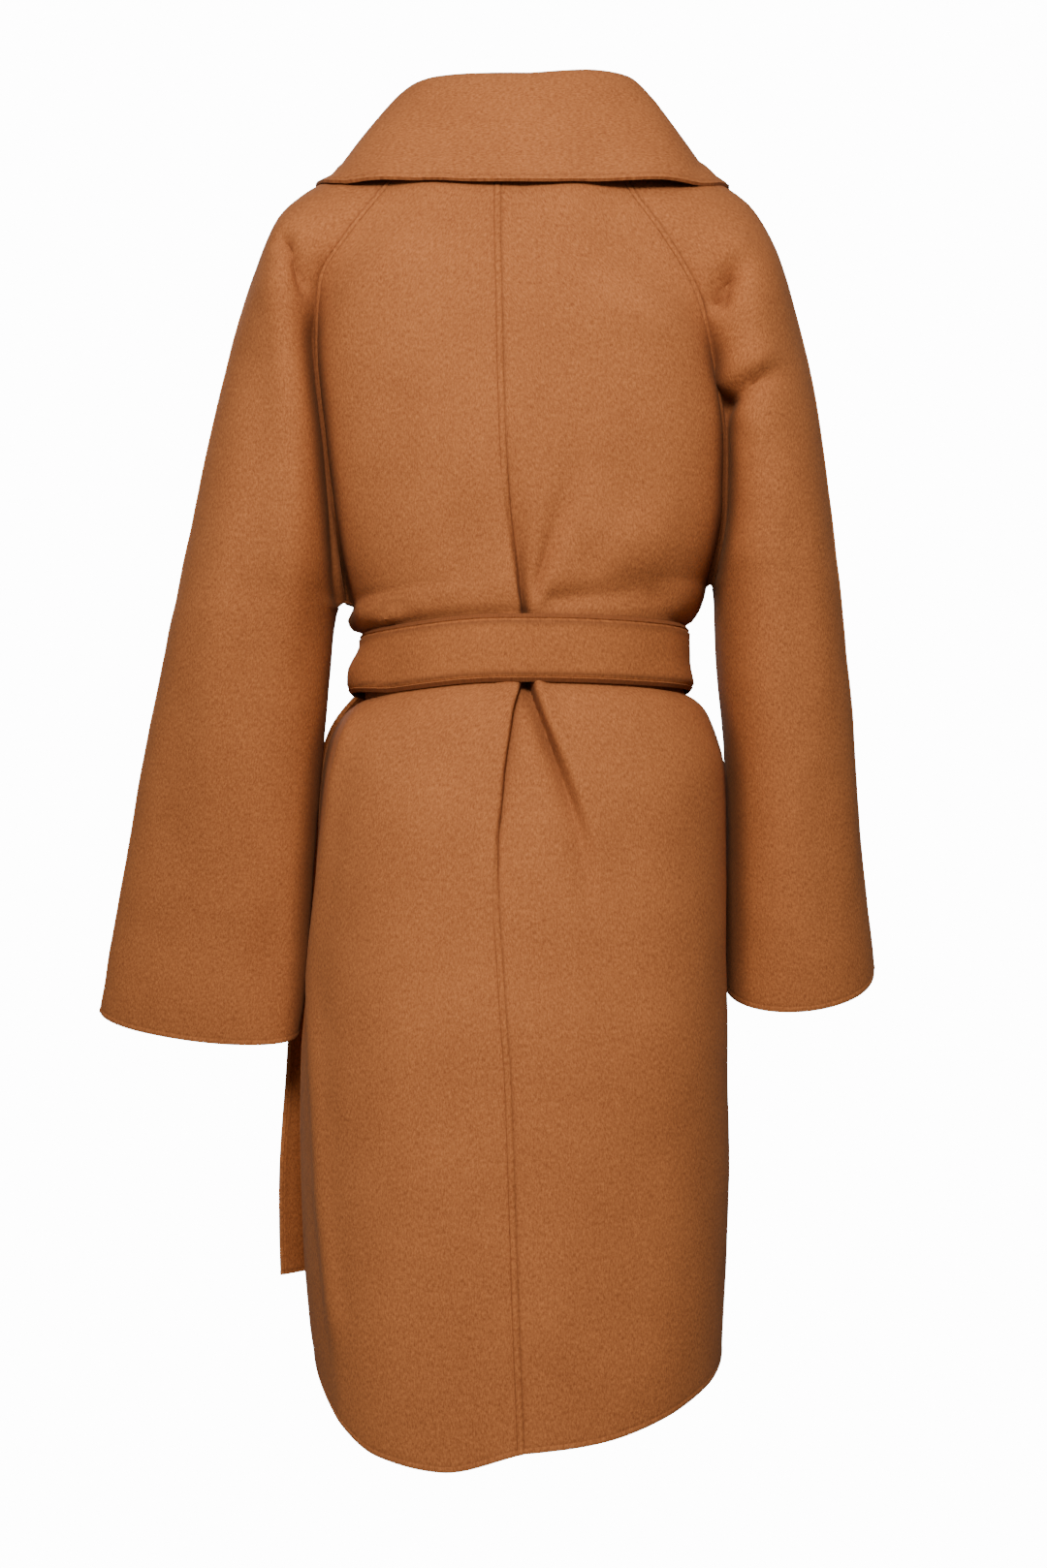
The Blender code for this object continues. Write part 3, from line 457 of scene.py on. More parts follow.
def armhole(side, row, face, steps=10):
    """Seam point at the valley's floor, and the ends of the fold on the body and sleeve."""
    rows = YOKE[side]
    toward = 1 if face == "b" else -1
    at = at_row(rows, face, row)
    floor = heading(toward * share_at(rows[face + "_turn"], row))
    out = Vector((-floor.y, floor.x, 0.0)) * toward
    fold = share_at(rows[face + "_fold"], row) * math.pi / 2
    radius = smooth(rows["gap"], row)
    arc = [(math.sin(fold * t) * radius, (1 - math.cos(fold * t)) * radius) for t in even(steps)]
    body = [at - floor * a + out * b for a, b in arc]
    sleeve = [at + floor * a + out * b for a, b in arc]
    leave_body = floor * math.cos(fold) - out * math.sin(fold)
    leave_sleeve = floor * math.cos(fold) + out * math.sin(fold)
    return body, sleeve, leave_body, leave_sleeve


floor_point = armhole("left", 3, "b")[0][0]
print("left armhole seam, fourth row:", [round(c / MM) for c in floor_point], "mm")


# %% Sections of the body
def quarter(centre, side_point, arriving, full):
    """A quarter section from a centre line, square to it, to a side point."""
    across, deep = side_point.x - centre.x, abs(side_point.y - centre.y)
    hold = full[1] * (abs(arriving.x) * across + abs(arriving.y) * deep)
    first = centre + Vector((full[0] * across, 0, 0))
    last = side_point - arriving * hold
    first.z = centre.z + (side_point.z - centre.z) * SECTION_DROP[0]
    last.z = centre.z + (side_point.z - centre.z) * SECTION_DROP[1]
    return bezier(centre, first, last, side_point)


def mirrored(points, side):
    return points if side == "left" else [Vector((-p.x, p.y, p.z)) for p in points]


def outward(side, x):
    return x if side == "left" else -x


def hem_height(face, side, share):
    return smooth(HEM[face + "_" + side], 5 * share)


def belt_sag(side, x):
    """How far the belt, and the cloth it holds, sags at this distance from the middle."""
    return BELT_DROP[side] * ramp(x, SAG)


def middle_point(rows, side, row, face, z):
    """Point of a section on the centre seam, or on the middle line of the front."""
    deep = smooth(rows[face], row)
    if face == "back":
        return Vector((outward(side, smooth(rows["seam"], row)), deep, z))
    return Vector((0.0, -deep, z))


def body_section(side, row, face):
    """Section of the body form below the underarm, centre line first, outward = +X."""
    z = smooth(BODY["z"], row)
    centre = middle_point(BODY, side, row, face, z)
    level = smooth(YOKE[side]["bz"], UNDERARM)
    settle = ease((BELT_TOP - z) / (BELT_TOP - BODY["z"][0]))
    held = (1 - settle) * ramp(z, SAG_FADE)
    side_point = Vector((smooth(BODY[side], row), 0.0, z + settle * (level - BODY["z"][0])))
    arriving = Vector((0, -1 if face == "back" else 1, 0))
    points = quarter(centre, side_point, arriving, FULL[face])
    drop = ease((-z - HEM_START) / (-BODY["z"][-1] - HEM_START))
    for p, share in zip(points, even(len(points) - 1)):
        p.z += drop * (hem_height(face, side, share) - BODY["z"][-1])
        p.z -= held * belt_sag(side, p.x)
    return points


def section(side, row, face):
    """Section from the centre line to the side or the raglan seam. Rows up to UNDERARM are
    the yoke's, and the rest are the body's."""
    if row > UNDERARM:
        return body_section(side, row - UNDERARM, face)
    fold, _, arriving, _ = armhole(side, row, face[0])
    z = smooth(YOKE_CENTRE[face + "_z"], row)
    centre = middle_point(YOKE_CENTRE, side, row, face, z)
    return quarter(centre, fold[-1], arriving, FULL[face])[:-1] + fold[::-1]


waist = section("left", UNDERARM + BODY["z"].index(BELT_MIDDLE), "back")
print(f"waist: half width {waist[-1].x / MM:.0f} mm, back depth {waist[0].y / MM:.0f} mm")


# %% [markdown]
# ## The pleat at the back
#
# The belt gathers the back into one inverted pleat. Below the belt its left edge is a
# sharp lip that hangs over the seam, and its right edge is soft. Above the belt the seam
# sinks into a narrow trough, and a second fold leans away from it to the right. The pleat
# moves the cloth itself here. A bump map would be simpler, but it throws no real shadows.

# %% Sizes of the pleat below the belt
PLEAT_FROM = -430.0 * MM       # the pleat starts behind the belt, here
PLEAT_FADE = (-660.0 * MM, 190.0 * MM)   # and is gone here, after fading over the second
PLEAT_DEPTH = 20.0 * MM
LIP = 3.6 * MM                 # the sharp edge rises over this width
SOFT = (6.0 * MM, 15.0 * MM)   # and the soft edge over this, at the belt and far below it
WIDENS = (-452.0 * MM, -130.0 * MM)      # where it widens, and over what height
SLACK = 12.0 * MM              # the pleat's floor bulges up again this far from its edges
BULGE = 0.78                   # and takes back this share of the depth
STEEP, GENTLE = 0.65, 0.85     # shares of the depth that lie in the two edges themselves
LIP_SWELL, SOFT_SWELL = 2.0 * MM, 3.0 * MM   # the cloth swells by this beside each edge
SWELL_WIDE = 7.0 * MM
OVERHANG, OVERHANG_AT = 3.0 * MM, 2.0 * MM   # how far the lip hangs over, and where most
print(f"pleat: {PLEAT_DEPTH / MM:.0f} mm deep, gone {-PLEAT_FADE[0] / MM:.0f} mm down")

# %% Sizes of the trough above the belt
TROUGH_TO = -450.0 * MM        # the trough ends behind the belt, here
TROUGH_FADE = (-250.0 * MM, -140.0 * MM)     # it starts here, and is full this far down
TROUGH_DEPTH = 12.5 * MM
LOOSE = -398.0 * MM            # the cloth is free of the belt above this height
WALL_AT, WALL_SLANT, WALL_MOST = 1.5 * MM, 0.15, 14.0 * MM   # the left wall's place at the
                               # belt, its slant above, and the furthest that it goes
WALL_OVER = 2.0 * MM           # the wall starts this much beyond its line
TROUGH_WIDE = (9.0 * MM, 19.0 * MM)   # its width at the belt, and what it gains
GAINS = (-410.0 * MM, 90.0 * MM)      # above this height, over the second
FLOOR_SHARE = 0.24             # the floor lies at this share of the width
WALL_SWELL_AT = 9.0 * MM       # the cloth swells this far left of the wall
SECOND, SECOND_SLANT = -2.0 * MM, 0.34       # the fold at the right meets the belt here
SECOND_DEPTH, SECOND_LEAST = 8.5 * MM, 0.2   # its depth, and the share of that at the belt
SECOND_RISE = 30.0 * MM        # it is at its deepest this far above the belt
SECOND_WIDE = (4.6 * MM, 0.07) # its half width at the belt, and what it gains with height
print(f"trough: {TROUGH_DEPTH / MM:.1f} mm deep, {TROUGH_WIDE[0] / MM:.0f} mm wide at the belt")

# %% Depth of the pleat and the trough
def pleat_edge(name, z):
    return float(np.interp(-z, [-v for v in PLEAT["z"]], PLEAT[name]))


def second_fold(z):
    """Where the fold right of the trough lies at this height."""
    return SECOND - SECOND_SLANT * max(0.0, z - LOOSE)


def pleat(p):
    """The point moved into the pleat that the belt gathers, above and below the belt."""
    x, z = p.x, p.z
    if z < PLEAT_FROM:
        sharp, soft = pleat_edge("sharp", z), pleat_edge("soft", z)
        fall = ramp(z, PLEAT_FADE)
        width = SOFT[0] + (SOFT[1] - SOFT[0]) * ramp(z, WIDENS)
        inside = STEEP * ease((sharp - x) / LIP + 0.5) + (1 - STEEP) * ease((sharp - x) / SLACK)
        inside *= (GENTLE * ease((x - soft) / width + 0.5)
                   + (1 - GENTLE) * ease((x - soft) / SLACK))
        bulge = 1 - math.exp(-max(0.0, sharp - x) / (0.6 * SLACK))
        bulge *= 1 - bump(max(0.0, x - soft), 0, SLACK)
        p.y -= PLEAT_DEPTH * fall * inside * (1 - BULGE * bulge)
        p.y += LIP_SWELL * fall * bump(x, sharp + SWELL_WIDE, SWELL_WIDE)
        p.y += SOFT_SWELL * fall * bump(x, soft - width * 0.8, width * 0.9)
        p.x -= OVERHANG * fall * bump(x, sharp + OVERHANG_AT, OVERHANG)
    if z > TROUGH_TO:
        above = max(0.0, z - LOOSE)
        rise = ramp(z, TROUGH_FADE)
        line = min(WALL_MOST, WALL_AT + WALL_SLANT * above)
        wide = TROUGH_WIDE[0] + TROUGH_WIDE[1] * ramp(z, GAINS)
        over = (line + WALL_OVER - x) / wide
        p.y -= TROUGH_DEPTH * rise * (ease(over / FLOOR_SHARE)
                                      - ease((over - FLOOR_SHARE) / (1 - FLOOR_SHARE)))
        p.y += LIP_SWELL * rise * bump(x, line + WALL_SWELL_AT, SWELL_WIDE)
        deep = SECOND_LEAST + (1 - SECOND_LEAST) * ease(above / SECOND_RISE)
        p.y -= SECOND_DEPTH * rise * deep * bump(x, second_fold(z),
                                                 SECOND_WIDE[0] + SECOND_WIDE[1] * above)
    return p


# %% Rows of the backs and the fronts
FOLLOWED = -62.0 * MM          # the right back's columns follow the pleat no further than this


def front_edge(side, row):
    if row > UNDERARM:
        return smooth(BODY["edge"], row - UNDERARM)
    return smooth(YOKE_CENTRE["edge"], row) + outward(side, smooth(YOKE_CENTRE["shift"], row))


def back_row(side, row, count=FINE["back"]):
    """A back from its centre seam to its side; the right one's columns follow the pleat."""
    line = section(side, row, "back")
    fold = None
    if side == "right":
        z = line[0].z
        soft = pleat_edge("soft", z) if z < BELT_MIDDLE else second_fold(z)
        fold = -line[0].x - max(soft, FOLLOWED)
    points = mirrored(along(line, shares(length(line), count, fold)), side)
    return [pleat(p) for p in points]


def front_row(side, row, count=FINE["front"]):
    """A front from its raglan or side seam across the middle to its own front edge."""
    other = "right" if side == "left" else "left"
    reach = section(side, row, "front")[::-1]
    beyond = [Vector((-p.x, p.y, p.z)) for p in section(other, row, "front")[1:]]
    edge = front_edge(side, row)
    points = []
    for a, b in zip(reach + beyond, (reach + beyond)[1:]):
        points.append(a)
        if b.x <= edge:
            points.append(a.lerp(b, (a.x - edge) / (a.x - b.x)))
            break
    layer = LAP_CLEARANCE / 2 * (1 if side == "right" else -1)
    wide = max(p.x for p in points)
    moved = []
    for i, p in enumerate(points):
        way = points[min(i + 1, len(points) - 1)] - points[max(i - 1, 0)]
        out = Vector((-way.y, way.x, 0)).normalized()
        moved.append(p + out * layer * ease((LAP_RAMP[0] - p.x / wide)
                                            / (LAP_RAMP[0] - LAP_RAMP[1])))
    return mirrored(along(moved, shares(length(moved), count)), side)


for side in ("left", "right"):
    rows = (back_row(side, UNDERARM), front_row(side, UNDERARM))
    print(side, "back and front under the arm:", [f"{length(row) / MM:.0f} mm" for row in rows])


# %% Rows of the sleeves
def sleeve_ring(side, row):
    """A sleeve's row from its back seam over the arm to its front seam, outward = +X."""
    if row <= UNDERARM:
        rows = YOKE[side]
        _, back_fold, _, back_way = armhole(side, row, "b")
        _, front_fold, _, front_way = armhole(side, row, "f")
        over = at_row(rows, "o", row)
        handles = [smooth(rows[name], row) for name in ("b_lead", "b_swell", "f_lead", "f_swell")]
        tilt = 0.0
    else:
        rows, row = SLEEVE[side], row - UNDERARM
        over = at_row(rows, "o", row)
        back_fold = front_fold = [at_row(rows, "i", row)]
        back_way, front_way = Vector((0, 1, 0)), Vector((0, -1, 0))
        handles = [smooth(rows[name], row) for name in ("back", "back", "front", "front")]
        tilt = share_at(rows["tilt"], row)
    start, end = back_fold[-1], front_fold[-1]
    lead = [start + back_way * handles[0], over + Vector((0, handles[1], 0))]
    trail = [over - Vector((0, handles[3], 0)), end + front_way * handles[2]]
    lead[0].z = start.z + (over.z - start.z) * SLEEVE_DROP
    trail[1].z = end.z + (over.z - end.z) * SLEEVE_DROP
    ring = (back_fold[:-1] + bezier(start, *lead, over) + bezier(over, *trail, end)[1:]
            + front_fold[::-1][1:])
    for p in ring:
        p.z -= tilt * (p.y - (start.y + over.y) / 2)
    return ring


def sleeve_row(side, row, face, count=FINE["sleeve"]):
    rows, at = (YOKE[side], row) if row <= UNDERARM else (SLEEVE[side], row - UNDERARM)
    parting = 0.5 - share_at(rows["over"], at)
    ring = sleeve_ring(side, row)
    reach = length(ring)
    if face == "back":
        part = [parting * u for u in shares(reach * parting, count)]
    else:
        part = [parting + (1 - parting) * u for u in shares(reach * (1 - parting), count)]
    return mirrored(along(ring, part), side)


for side in ("left", "right"):
    ring = sleeve_ring(side, UNDERARM + len(SLEEVE[side]["iz"]) - 1)
    print(side, f"cuff: {length(ring) / MM:.0f} mm round")


# %% [markdown]
# ## Seams and turned edges
#
# A double-faced seam is felled by hand: one edge is turned under and sewn down, which
# leaves a soft ridge about four millimetres wide beside the join, with a faint line of
# stitches along its far side. Free edges are turned in and stitched too, so they are a
# little thicker. These profiles give the height of the cloth at each distance.

# %% Profiles across a seam, its plain side and a turned edge
PROFILES = {                   # distance in from the edge of the piece, and height there
    "felled": ((0, 0.8, 1.6, 3.3, 4.2, 5.2, 7), (-0.6, 0.4, 0.9, 0.6, -0.25, 0.0, 0)),
    "plain": ((0, 0.8, 2.4, 4.2, 7), (-0.45, -0.30, -0.05, 0, 0)),
    "turned": ((0, 0.8, 2.4, 3.3, 4.2, 5.2, 7), (-0.1, 0.2, 0.3, 0.1, -0.22, -0.05, 0)),
    "rolled": ((0, 0.8, 2.4, 4.2, 5.2, 7, 10), (-0.4, 0.6, 1.2, 0.5, -0.5, -0.15, 0)),
    "loose": ((0, 7), (0, 0)),
}
FINISH = {                     # each piece's first column, last column, top and bottom rows
    "back_left": ("felled", "felled", "loose", "turned"),
    "back_right": ("plain", "felled", "loose", "turned"),
    "front_left": ("felled", "turned", "loose", "turned"),
    "front_right": ("felled", "turned", "loose", "turned"),
    "sleeve_back_left": ("plain", "plain", "loose", "turned"),
    "sleeve_back_right": ("plain", "plain", "loose", "turned"),
    "sleeve_front_left": ("felled", "plain", "loose", "turned"),
    "sleeve_front_right": ("felled", "plain", "loose", "turned"),
    "collar": ("loose", "turned", "turned", "turned"),
    "belt": ("loose", "loose", "rolled", "rolled"),
    "tail": ("turned", "turned", "loose", "turned"),
}


def relief(rows, i, j, finish):
    """Height of the sewn relief at column i of row j."""
    p = rows[j][i]
    edges = (rows[j][0], rows[j][-1], rows[0][i], rows[-1][i])
    height = 0.0
    for edge, name in zip(edges, finish):
        away, heights = PROFILES[name]
        height += float(np.interp((p - edge).length / MM, away, heights)) * MM
    return height


# %% [markdown]
# ## One sheet, then its pieces
#
# Each piece starts as a flat grid whose vertices are moved to the points of its rows.
# All eight pieces go into one bmesh and their shared points are merged, so folds and
# ridges can be pressed into the whole coat at once and no seam opens. The flat size of
# each piece goes into a UV map in metres, which the nap follows.

# %% Lay a grid on rows of points
def add_grid(whole, rows, finish, layer, flip=False):
    """A grid in the bmesh, laid on the rows of points, with its relief and its cloth map."""
    sewn = whole.verts.layers.float.get("relief") or whole.verts.layers.float.new("relief")
    cloth = whole.loops.layers.uv.get("cloth") or whole.loops.layers.uv.new("cloth")
    down, across = len(rows), len(rows[0])
    made = bmesh.ops.create_grid(whole, x_segments=across - 1, y_segments=down - 1, size=1.0)
    place = {}
    for vertex in made["verts"]:
        i = round((vertex.co.x + 1) / 2 * (across - 1))
        j = round((vertex.co.y + 1) / 2 * (down - 1))
        place[vertex] = (i, j)
        vertex.co = rows[j][i]
        vertex[sewn] = relief(rows, i, j, finish)
    widths = [[0.0] for _ in rows]
    for row, reach in zip(rows, widths):
        for a, b in zip(row, row[1:]):
            reach.append(reach[-1] + (b - a).length)
    depths = [0.0]
    middle = across // 2
    for a, b in zip(rows, rows[1:]):
        depths.append(depths[-1] + (b[middle] - a[middle]).length)
    faces = {f for v in made["verts"] for f in v.link_faces}
    for face in faces:
        face.material_index = layer
        for loop in face.loops:
            i, j = place[loop.vert]
            loop[cloth].uv = (widths[j][i] - widths[j][-1] / 2, -depths[j])
    if flip:
        bmesh.ops.reverse_faces(whole, faces=list(faces))
    return depths[-1], max(reach[-1] for reach in widths)


# %% Lay out the backs, fronts and sleeves
def panel_row(name, side, row):
    """One row of a panel's points, the same wherever two panels meet."""
    if name == "back":
        return back_row(side, row)
    if name == "front":
        return front_row(side, row)
    return sleeve_row(side, row, name.split("_")[1])


def panel_rows(side, name):
    lower = SLEEVE[side]["iz"] if "sleeve" in name else BODY["z"]
    places = YOKE_ROWS + row_positions(lower, UNDERARM)[1:]
    places = crowded_end(places, abs(lower[-1] - lower[-2]))
    return [panel_row(name, side, place) for place in places]


coat = bmesh.new()
pieces = []
flat_size = {}
for side in ("left", "right"):
    for name in ("back", "front", "sleeve_back", "sleeve_front"):
        piece = name + "_" + side
        rows = panel_rows(side, name)
        long, wide = add_grid(coat, rows, FINISH[piece], len(pieces), flip=side == "right")
        flat_size[piece] = (wide, long)
        pieces.append(piece)
bmesh.ops.remove_doubles(coat, verts=coat.verts, dist=1e-5)
coat.normal_update()
print(len(pieces), "pieces laid out with", len(coat.faces), "faces")

# %% [markdown]
# ## Folds pressed into the cloth
#
# Thick wool makes few folds and they are broad and soft. Each line below is one fold, as
# a path of heights and distances from the middle, with how high it stands and how wide it
# is. They are placed one by one and kept uneven, and faint waves are added so that no part is
# perfectly even. Cloth simulation could find folds too, but it would not keep these.

# %% Folds of the back, the fronts and the sleeves
CREASES = {                    # height, half width, fade in, fade out, then x and z pairs
    "back": (
        (-7.5, 14, 26, 24, -4, -397, -24, -391, -56, -385, -92, -380, -126, -386),
        (5.0, 24, 20, 30, -48, -346, -84, -336, -128, -342),
        (2.6, 7, 16, 20, -28, -400, -70, -400, -118, -403),
        (-2.6, 12, 20, 50, -40, -372, -58, -352, -78, -318, -96, -280),
        (2.0, 16, 30, 60, 34, -330, 40, -300, 44, -240),
        (-1.6, 12, 20, 50, 30, -392, 46, -362, 58, -320),
        (-2.6, 5, 8, 14, 119, -396, 107, -391, 94, -389, 84, -390),
        (1.8, 5, 8, 12, 117, -404, 104, -398, 90, -397),
        (1.2, 30, 60, 60, 60, -150, 70, -230, 60, -320),
        (-1.4, 26, 60, 60, -55, -120, -75, -200, -70, -290),
        (3.8, 7, 30, 60, 131, -466, 149, -523, 154, -569, 169, -685, 163, -751, 159, -802,
         156, -849, 152, -884, 146, -935, 140, -981),
        (-2.0, 22, 60, 90, -52, -560, -68, -660, -76, -780),
        (1.8, 30, 60, 120, 70, -500, 88, -640, 92, -800, 86, -940),
        (-1.8, 26, 80, 120, 40, -600, 48, -760, 50, -900),
        (2.0, 28, 60, 90, -105, -500, -118, -640, -120, -800),
        (-1.8, 24, 80, 90, -90, -760, -84, -900, -88, -990),
        (1.4, 20, 60, 60, -30, -800, -26, -900, -28, -1000),
    ),
    "front": (
        (-3.0, 12, 4, 60, 90, -396, 60, -360, 20, -320, -20, -290),
        (2.2, 12, 4, 60, 96, -392, 74, -345, 44, -290, 20, -240),
        (-2.6, 11, 4, 60, 112, -392, 104, -340, 92, -280),
        (-2.2, 12, 4, 60, 70, -400, 20, -385, -40, -372, -90, -364),
        (-4.0, 16, 6, 90, 84, -462, 74, -540, 70, -640, 66, -760),
        (3.5, 18, 6, 120, 50, -462, 36, -560, 26, -700, 20, -860),
        (-3.2, 16, 6, 90, 14, -464, -6, -560, -16, -680),
        (3.0, 18, 6, 120, -50, -464, -66, -580, -78, -740, -84, -900),
        (-2.4, 16, 20, 90, -96, -490, -110, -620, -116, -780),
        (-2.0, 20, 60, 60, 120, -520, 132, -640, 134, -780),
        (1.6, 22, 60, 60, 124, -640, 126, -800, 118, -950),
    ),
    "sleeve_left": (
        (-4.0, 19, 8, 36, 146, -36, 164, -41, 180, -52, 200, -80),
        (-9.0, 6.0, 12, 26, 194, -97, 186, -107, 179, -121, 173, -138, 169, -158),
        (3.6, 13, 20, 80, 196, -122, 182, -190, 178, -250, 178, -310, 184, -380, 192, -450),
        (-3.4, 20, 30, 90, 214, -170, 206, -240, 208, -320, 218, -410, 230, -510),
        (2.2, 16, 40, 90, 224, -300, 240, -380, 250, -470, 262, -600),
        (-2.0, 9, 60, 50, 206, -590, 206, -650, 207, -705),
        (-1.6, 18, 60, 60, 266, -420, 284, -520, 298, -620),
        (1.8, 12, 50, 50, 226, -600, 232, -680, 236, -740),
        (-3.2, 11, 10, 40, 156, -170, 170, -186, 186, -196),
    ),
    "sleeve_right": (
        (-3.0, 17, 8, 30, -146, -40, -164, -46, -184, -64),
        (-7.5, 7.5, 12, 30, -145, -243, -152, -238, -160, -231, -174, -221, -188, -213,
         -208, -203),
        (5.5, 12, 8, 28, -152, -217, -168, -206, -184, -198, -204, -188),
        (3.0, 16, 14, 34, -168, -254, -184, -246, -208, -234),
        (-13.0, 8, 8, 26, -151, -164, -152, -154, -156, -142, -165, -130, -180, -120),
        (3.5, 11, 10, 20, -150, -122, -164, -110, -182, -100),
        (2.4, 15, 14, 30, -166, -166, -182, -156, -200, -150),
        (-2.4, 14, 60, 60, -206, -290, -216, -400, -222, -500),
        (2.2, 18, 60, 80, -186, -320, -192, -450, -196, -580),
        (-2.0, 12, 50, 60, -236, -500, -244, -600, -250, -670),
        (1.6, 12, 50, 60, -262, -420, -268, -540, -274, -640),
    ),
}
EDGE = table(                  # the rounded left edge of the back, and how far the cloth
    "z    x    deep",          # beyond it falls away to the front
    (-250, 160, 0),
    (-290, 156, 10),
    (-340, 146, 20),
    (-399, 129, 22),
    (-402, 129, 0),
    (-452, 132, 0),
    (-457, 134, 17),
    (-522, 152, 18),
    (-569, 157, 15),
    (-688, 173, 8),
    (-755, 167, 8),
    (-807, 162, 7),
    (-891, 155, 7),
    (-990, 143, 5),
    (-1045, 143, 4),
)

# %% What the folds fade with
WAVES = ((70.0, 1.2), (24.0, 0.28))    # size and height of the faint waves, in millimetres
GRIP = (LOOSE, -453.0 * MM, 9.0 * MM)  # the belt holds the cloth flat between these heights,
                                       # and lets it go over the third size
HELD_SEAM, HELD_FOLD, HELD_WAVE = 0.25, 0.1, 0.2   # what is left of each under the belt
SIDE_FADE = 30.0 * MM                  # the body's folds fade out this close to its sides
ARM_FROM, ARM_FADE = -30.0 * MM, 50.0 * MM         # the sleeves' folds start here, over this
BACK_FROM, BACK_FADE = -20.0 * MM, 60.0 * MM       # and so does the rounded edge of the back
TURNS = ((9.0 * MM, 0.3, 1.0), (22.0 * MM, 0.0, 1.2))   # its two steps: width, start, share
print(sum(len(creases) for creases in CREASES.values()), "folds placed by hand")

# %% The height of one fold
def smoothstep(t):
    t = np.clip(t, 0.0, 1.0)
    return t * t * (3 - 2 * t)


def crease_height(co, crease):
    """Height of one fold at every point, seen square to the front or the back."""
    high, wide, fade_in, fade_out, *path = [value * MM for value in crease]
    line = np.array(path).reshape(-1, 2)
    at = co[:, (0, 2)]
    best, reached, travelled = np.full(len(co), np.inf), np.zeros(len(co)), 0.0
    for a, b in zip(line, line[1:]):
        way = b - a
        reach = float(np.hypot(*way))
        share = np.clip((at - a) @ way / reach ** 2, 0.0, 1.0)
        away = np.linalg.norm(at - a - share[:, None] * way, axis=1)
        reached = np.where(away < best, travelled + share * reach, reached)
        best = np.minimum(best, away)
        travelled += reach
    ends = smoothstep(reached / fade_in) * smoothstep((travelled - reached) / fade_out)
    return high * np.exp(-(best / wide) ** 2) * ends


# %% Press the folds, the ridges and the waves in
def press_folds(whole):
    """Moves every vertex along its normal by its relief, its folds and the faint waves."""
    sewn = whole.verts.layers.float["relief"]
    verts = list(whole.verts)
    co = np.array([v.co for v in verts])
    body = np.array([all("sleeve" not in pieces[f.material_index] for f in v.link_faces)
                     for v in verts])
    height = np.array([v[sewn] for v in verts])
    sag = np.array([belt_sag("left" if x > 0 else "right", abs(x)) for x in co[:, 0]])
    level = co[:, 2] + sag
    belted = smoothstep((level - GRIP[0]) / GRIP[2]) + smoothstep((GRIP[1] - level) / GRIP[2])
    height *= np.where(body, np.minimum(1.0, HELD_SEAM + belted), 1.0)
    facing = smoothstep(np.abs(co[:, 1]) / SIDE_FADE)
    for name, creases in CREASES.items():
        if name in ("back", "front"):
            here = body & (co[:, 1] > 0) if name == "back" else body & (co[:, 1] < 0)
            gate = here * facing * np.minimum(1.0, HELD_FOLD + belted)
        else:
            here = ~body & ((co[:, 0] > 0) if name == "sleeve_left" else (co[:, 0] < 0))
            gate = here * smoothstep((co[:, 1] - ARM_FROM) / ARM_FADE)
        for crease in creases:
            height = height + gate * crease_height(co, crease)
    for size, high in WAVES:
        wave = np.array([noise.noise(Vector(c) / (size * MM)) for c in co])
        height += wave * high * MM * np.minimum(1.0, HELD_WAVE + np.where(body, belted, 1.0))
    x, y, z = co.T
    heights = [-v for v in EDGE["z"]]
    past = x - np.interp(-level, heights, EDGE["x"])
    turned = sum(share * smoothstep(past / wide + start) for wide, start, share in TURNS)
    back = body * turned * smoothstep((y - BACK_FROM) / BACK_FADE)
    back = back * np.interp(-level, heights, EDGE["deep"])
    for vertex, lift, step in zip(verts, height, back):
        vertex.co = vertex.co + vertex.normal * float(lift) - Vector((0, float(step), 0))
    whole.normal_update()
    return height


lifts = press_folds(coat)
print(f"folds from {lifts.min() / MM:.1f} to {lifts.max() / MM:.1f} mm")

# %% [markdown]
# ## The wool
#
# The cloth is double-faced sheep's wool, woven, then fulled and brushed: the weave is
# hidden under a short nap that lies down the cloth. The eye sees a matt, warm surface with
# a faint mottle where fibres of slightly different dye are mixed, and a weak sheen at
# grazing angles. Real fibres are about 0.02 mm thick and their tufts about 0.3 mm, too fine
# to show, so the nap is noise at 1.1 mm, stretched along the cloth, and the mottle is noise
# at 2.4 mm. A cloud at 60 mm keeps the large panels from looking flat. A woven pattern
# would also be possible, but fulling hides it.
# Shade is also painted in: the colour darkens in seam grooves and where other cloth is near.

# %% Helpers for node materials
def sheet_colour(code):
    """An sRGB hex colour as linear values."""
    parts = [int(code[i:i + 2], 16) / 255 for i in (1, 3, 5)]
    return tuple(c / 12.92 if c <= 0.04045 else ((c + 0.055) / 1.055) ** 2.4
                 for c in parts) + (1.0,)


def add_node(tree, kind, settings=None, inputs=None):
    """Adds a node with its settings, and its inputs set to values or linked to sockets."""
    node = tree.nodes.new(kind)
    for key, value in (settings or {}).items():
        setattr(node, key, value)
    for key, value in (inputs or {}).items():
        if isinstance(value, bpy.types.NodeSocket):
            tree.links.new(value, node.inputs[key])
        else:
            node.inputs[key].default_value = value
    return node


# %% The fulled, brushed wool
OCCLUSION_REACH = 22.0 * MM             # painted shade: cloth this near to other cloth is darkened in its colour
NEAR_CLOTH_SHADE = (0.25, 0.92, 0.66)    # openness at which the painted shade is darkest, and lightest, and how dark
PATTERNS = (                   # size, detail, roughness, and share in the colour
    ("fibres", 1.1 * MM, 3.0, 0.65, 0.55),
    ("mottle", 2.4 * MM, 4.0, 0.70, 0.40),
    ("cloud", 60.0 * MM, 2.0, 0.50, 0.10),
)
NAP_LIES = (1.0, 0.35, 1.0)    # fibres are almost three times as long down the cloth
NAP_HEIGHT, NAP_STRENGTH = 0.5 * MM, 0.55
SPREAD = (0.39, 0.66)          # the mixed noise lies between these, and takes all the colour
MOTTLE_RELIEF = 0.6            # how much of the mottle stands up with the fibres


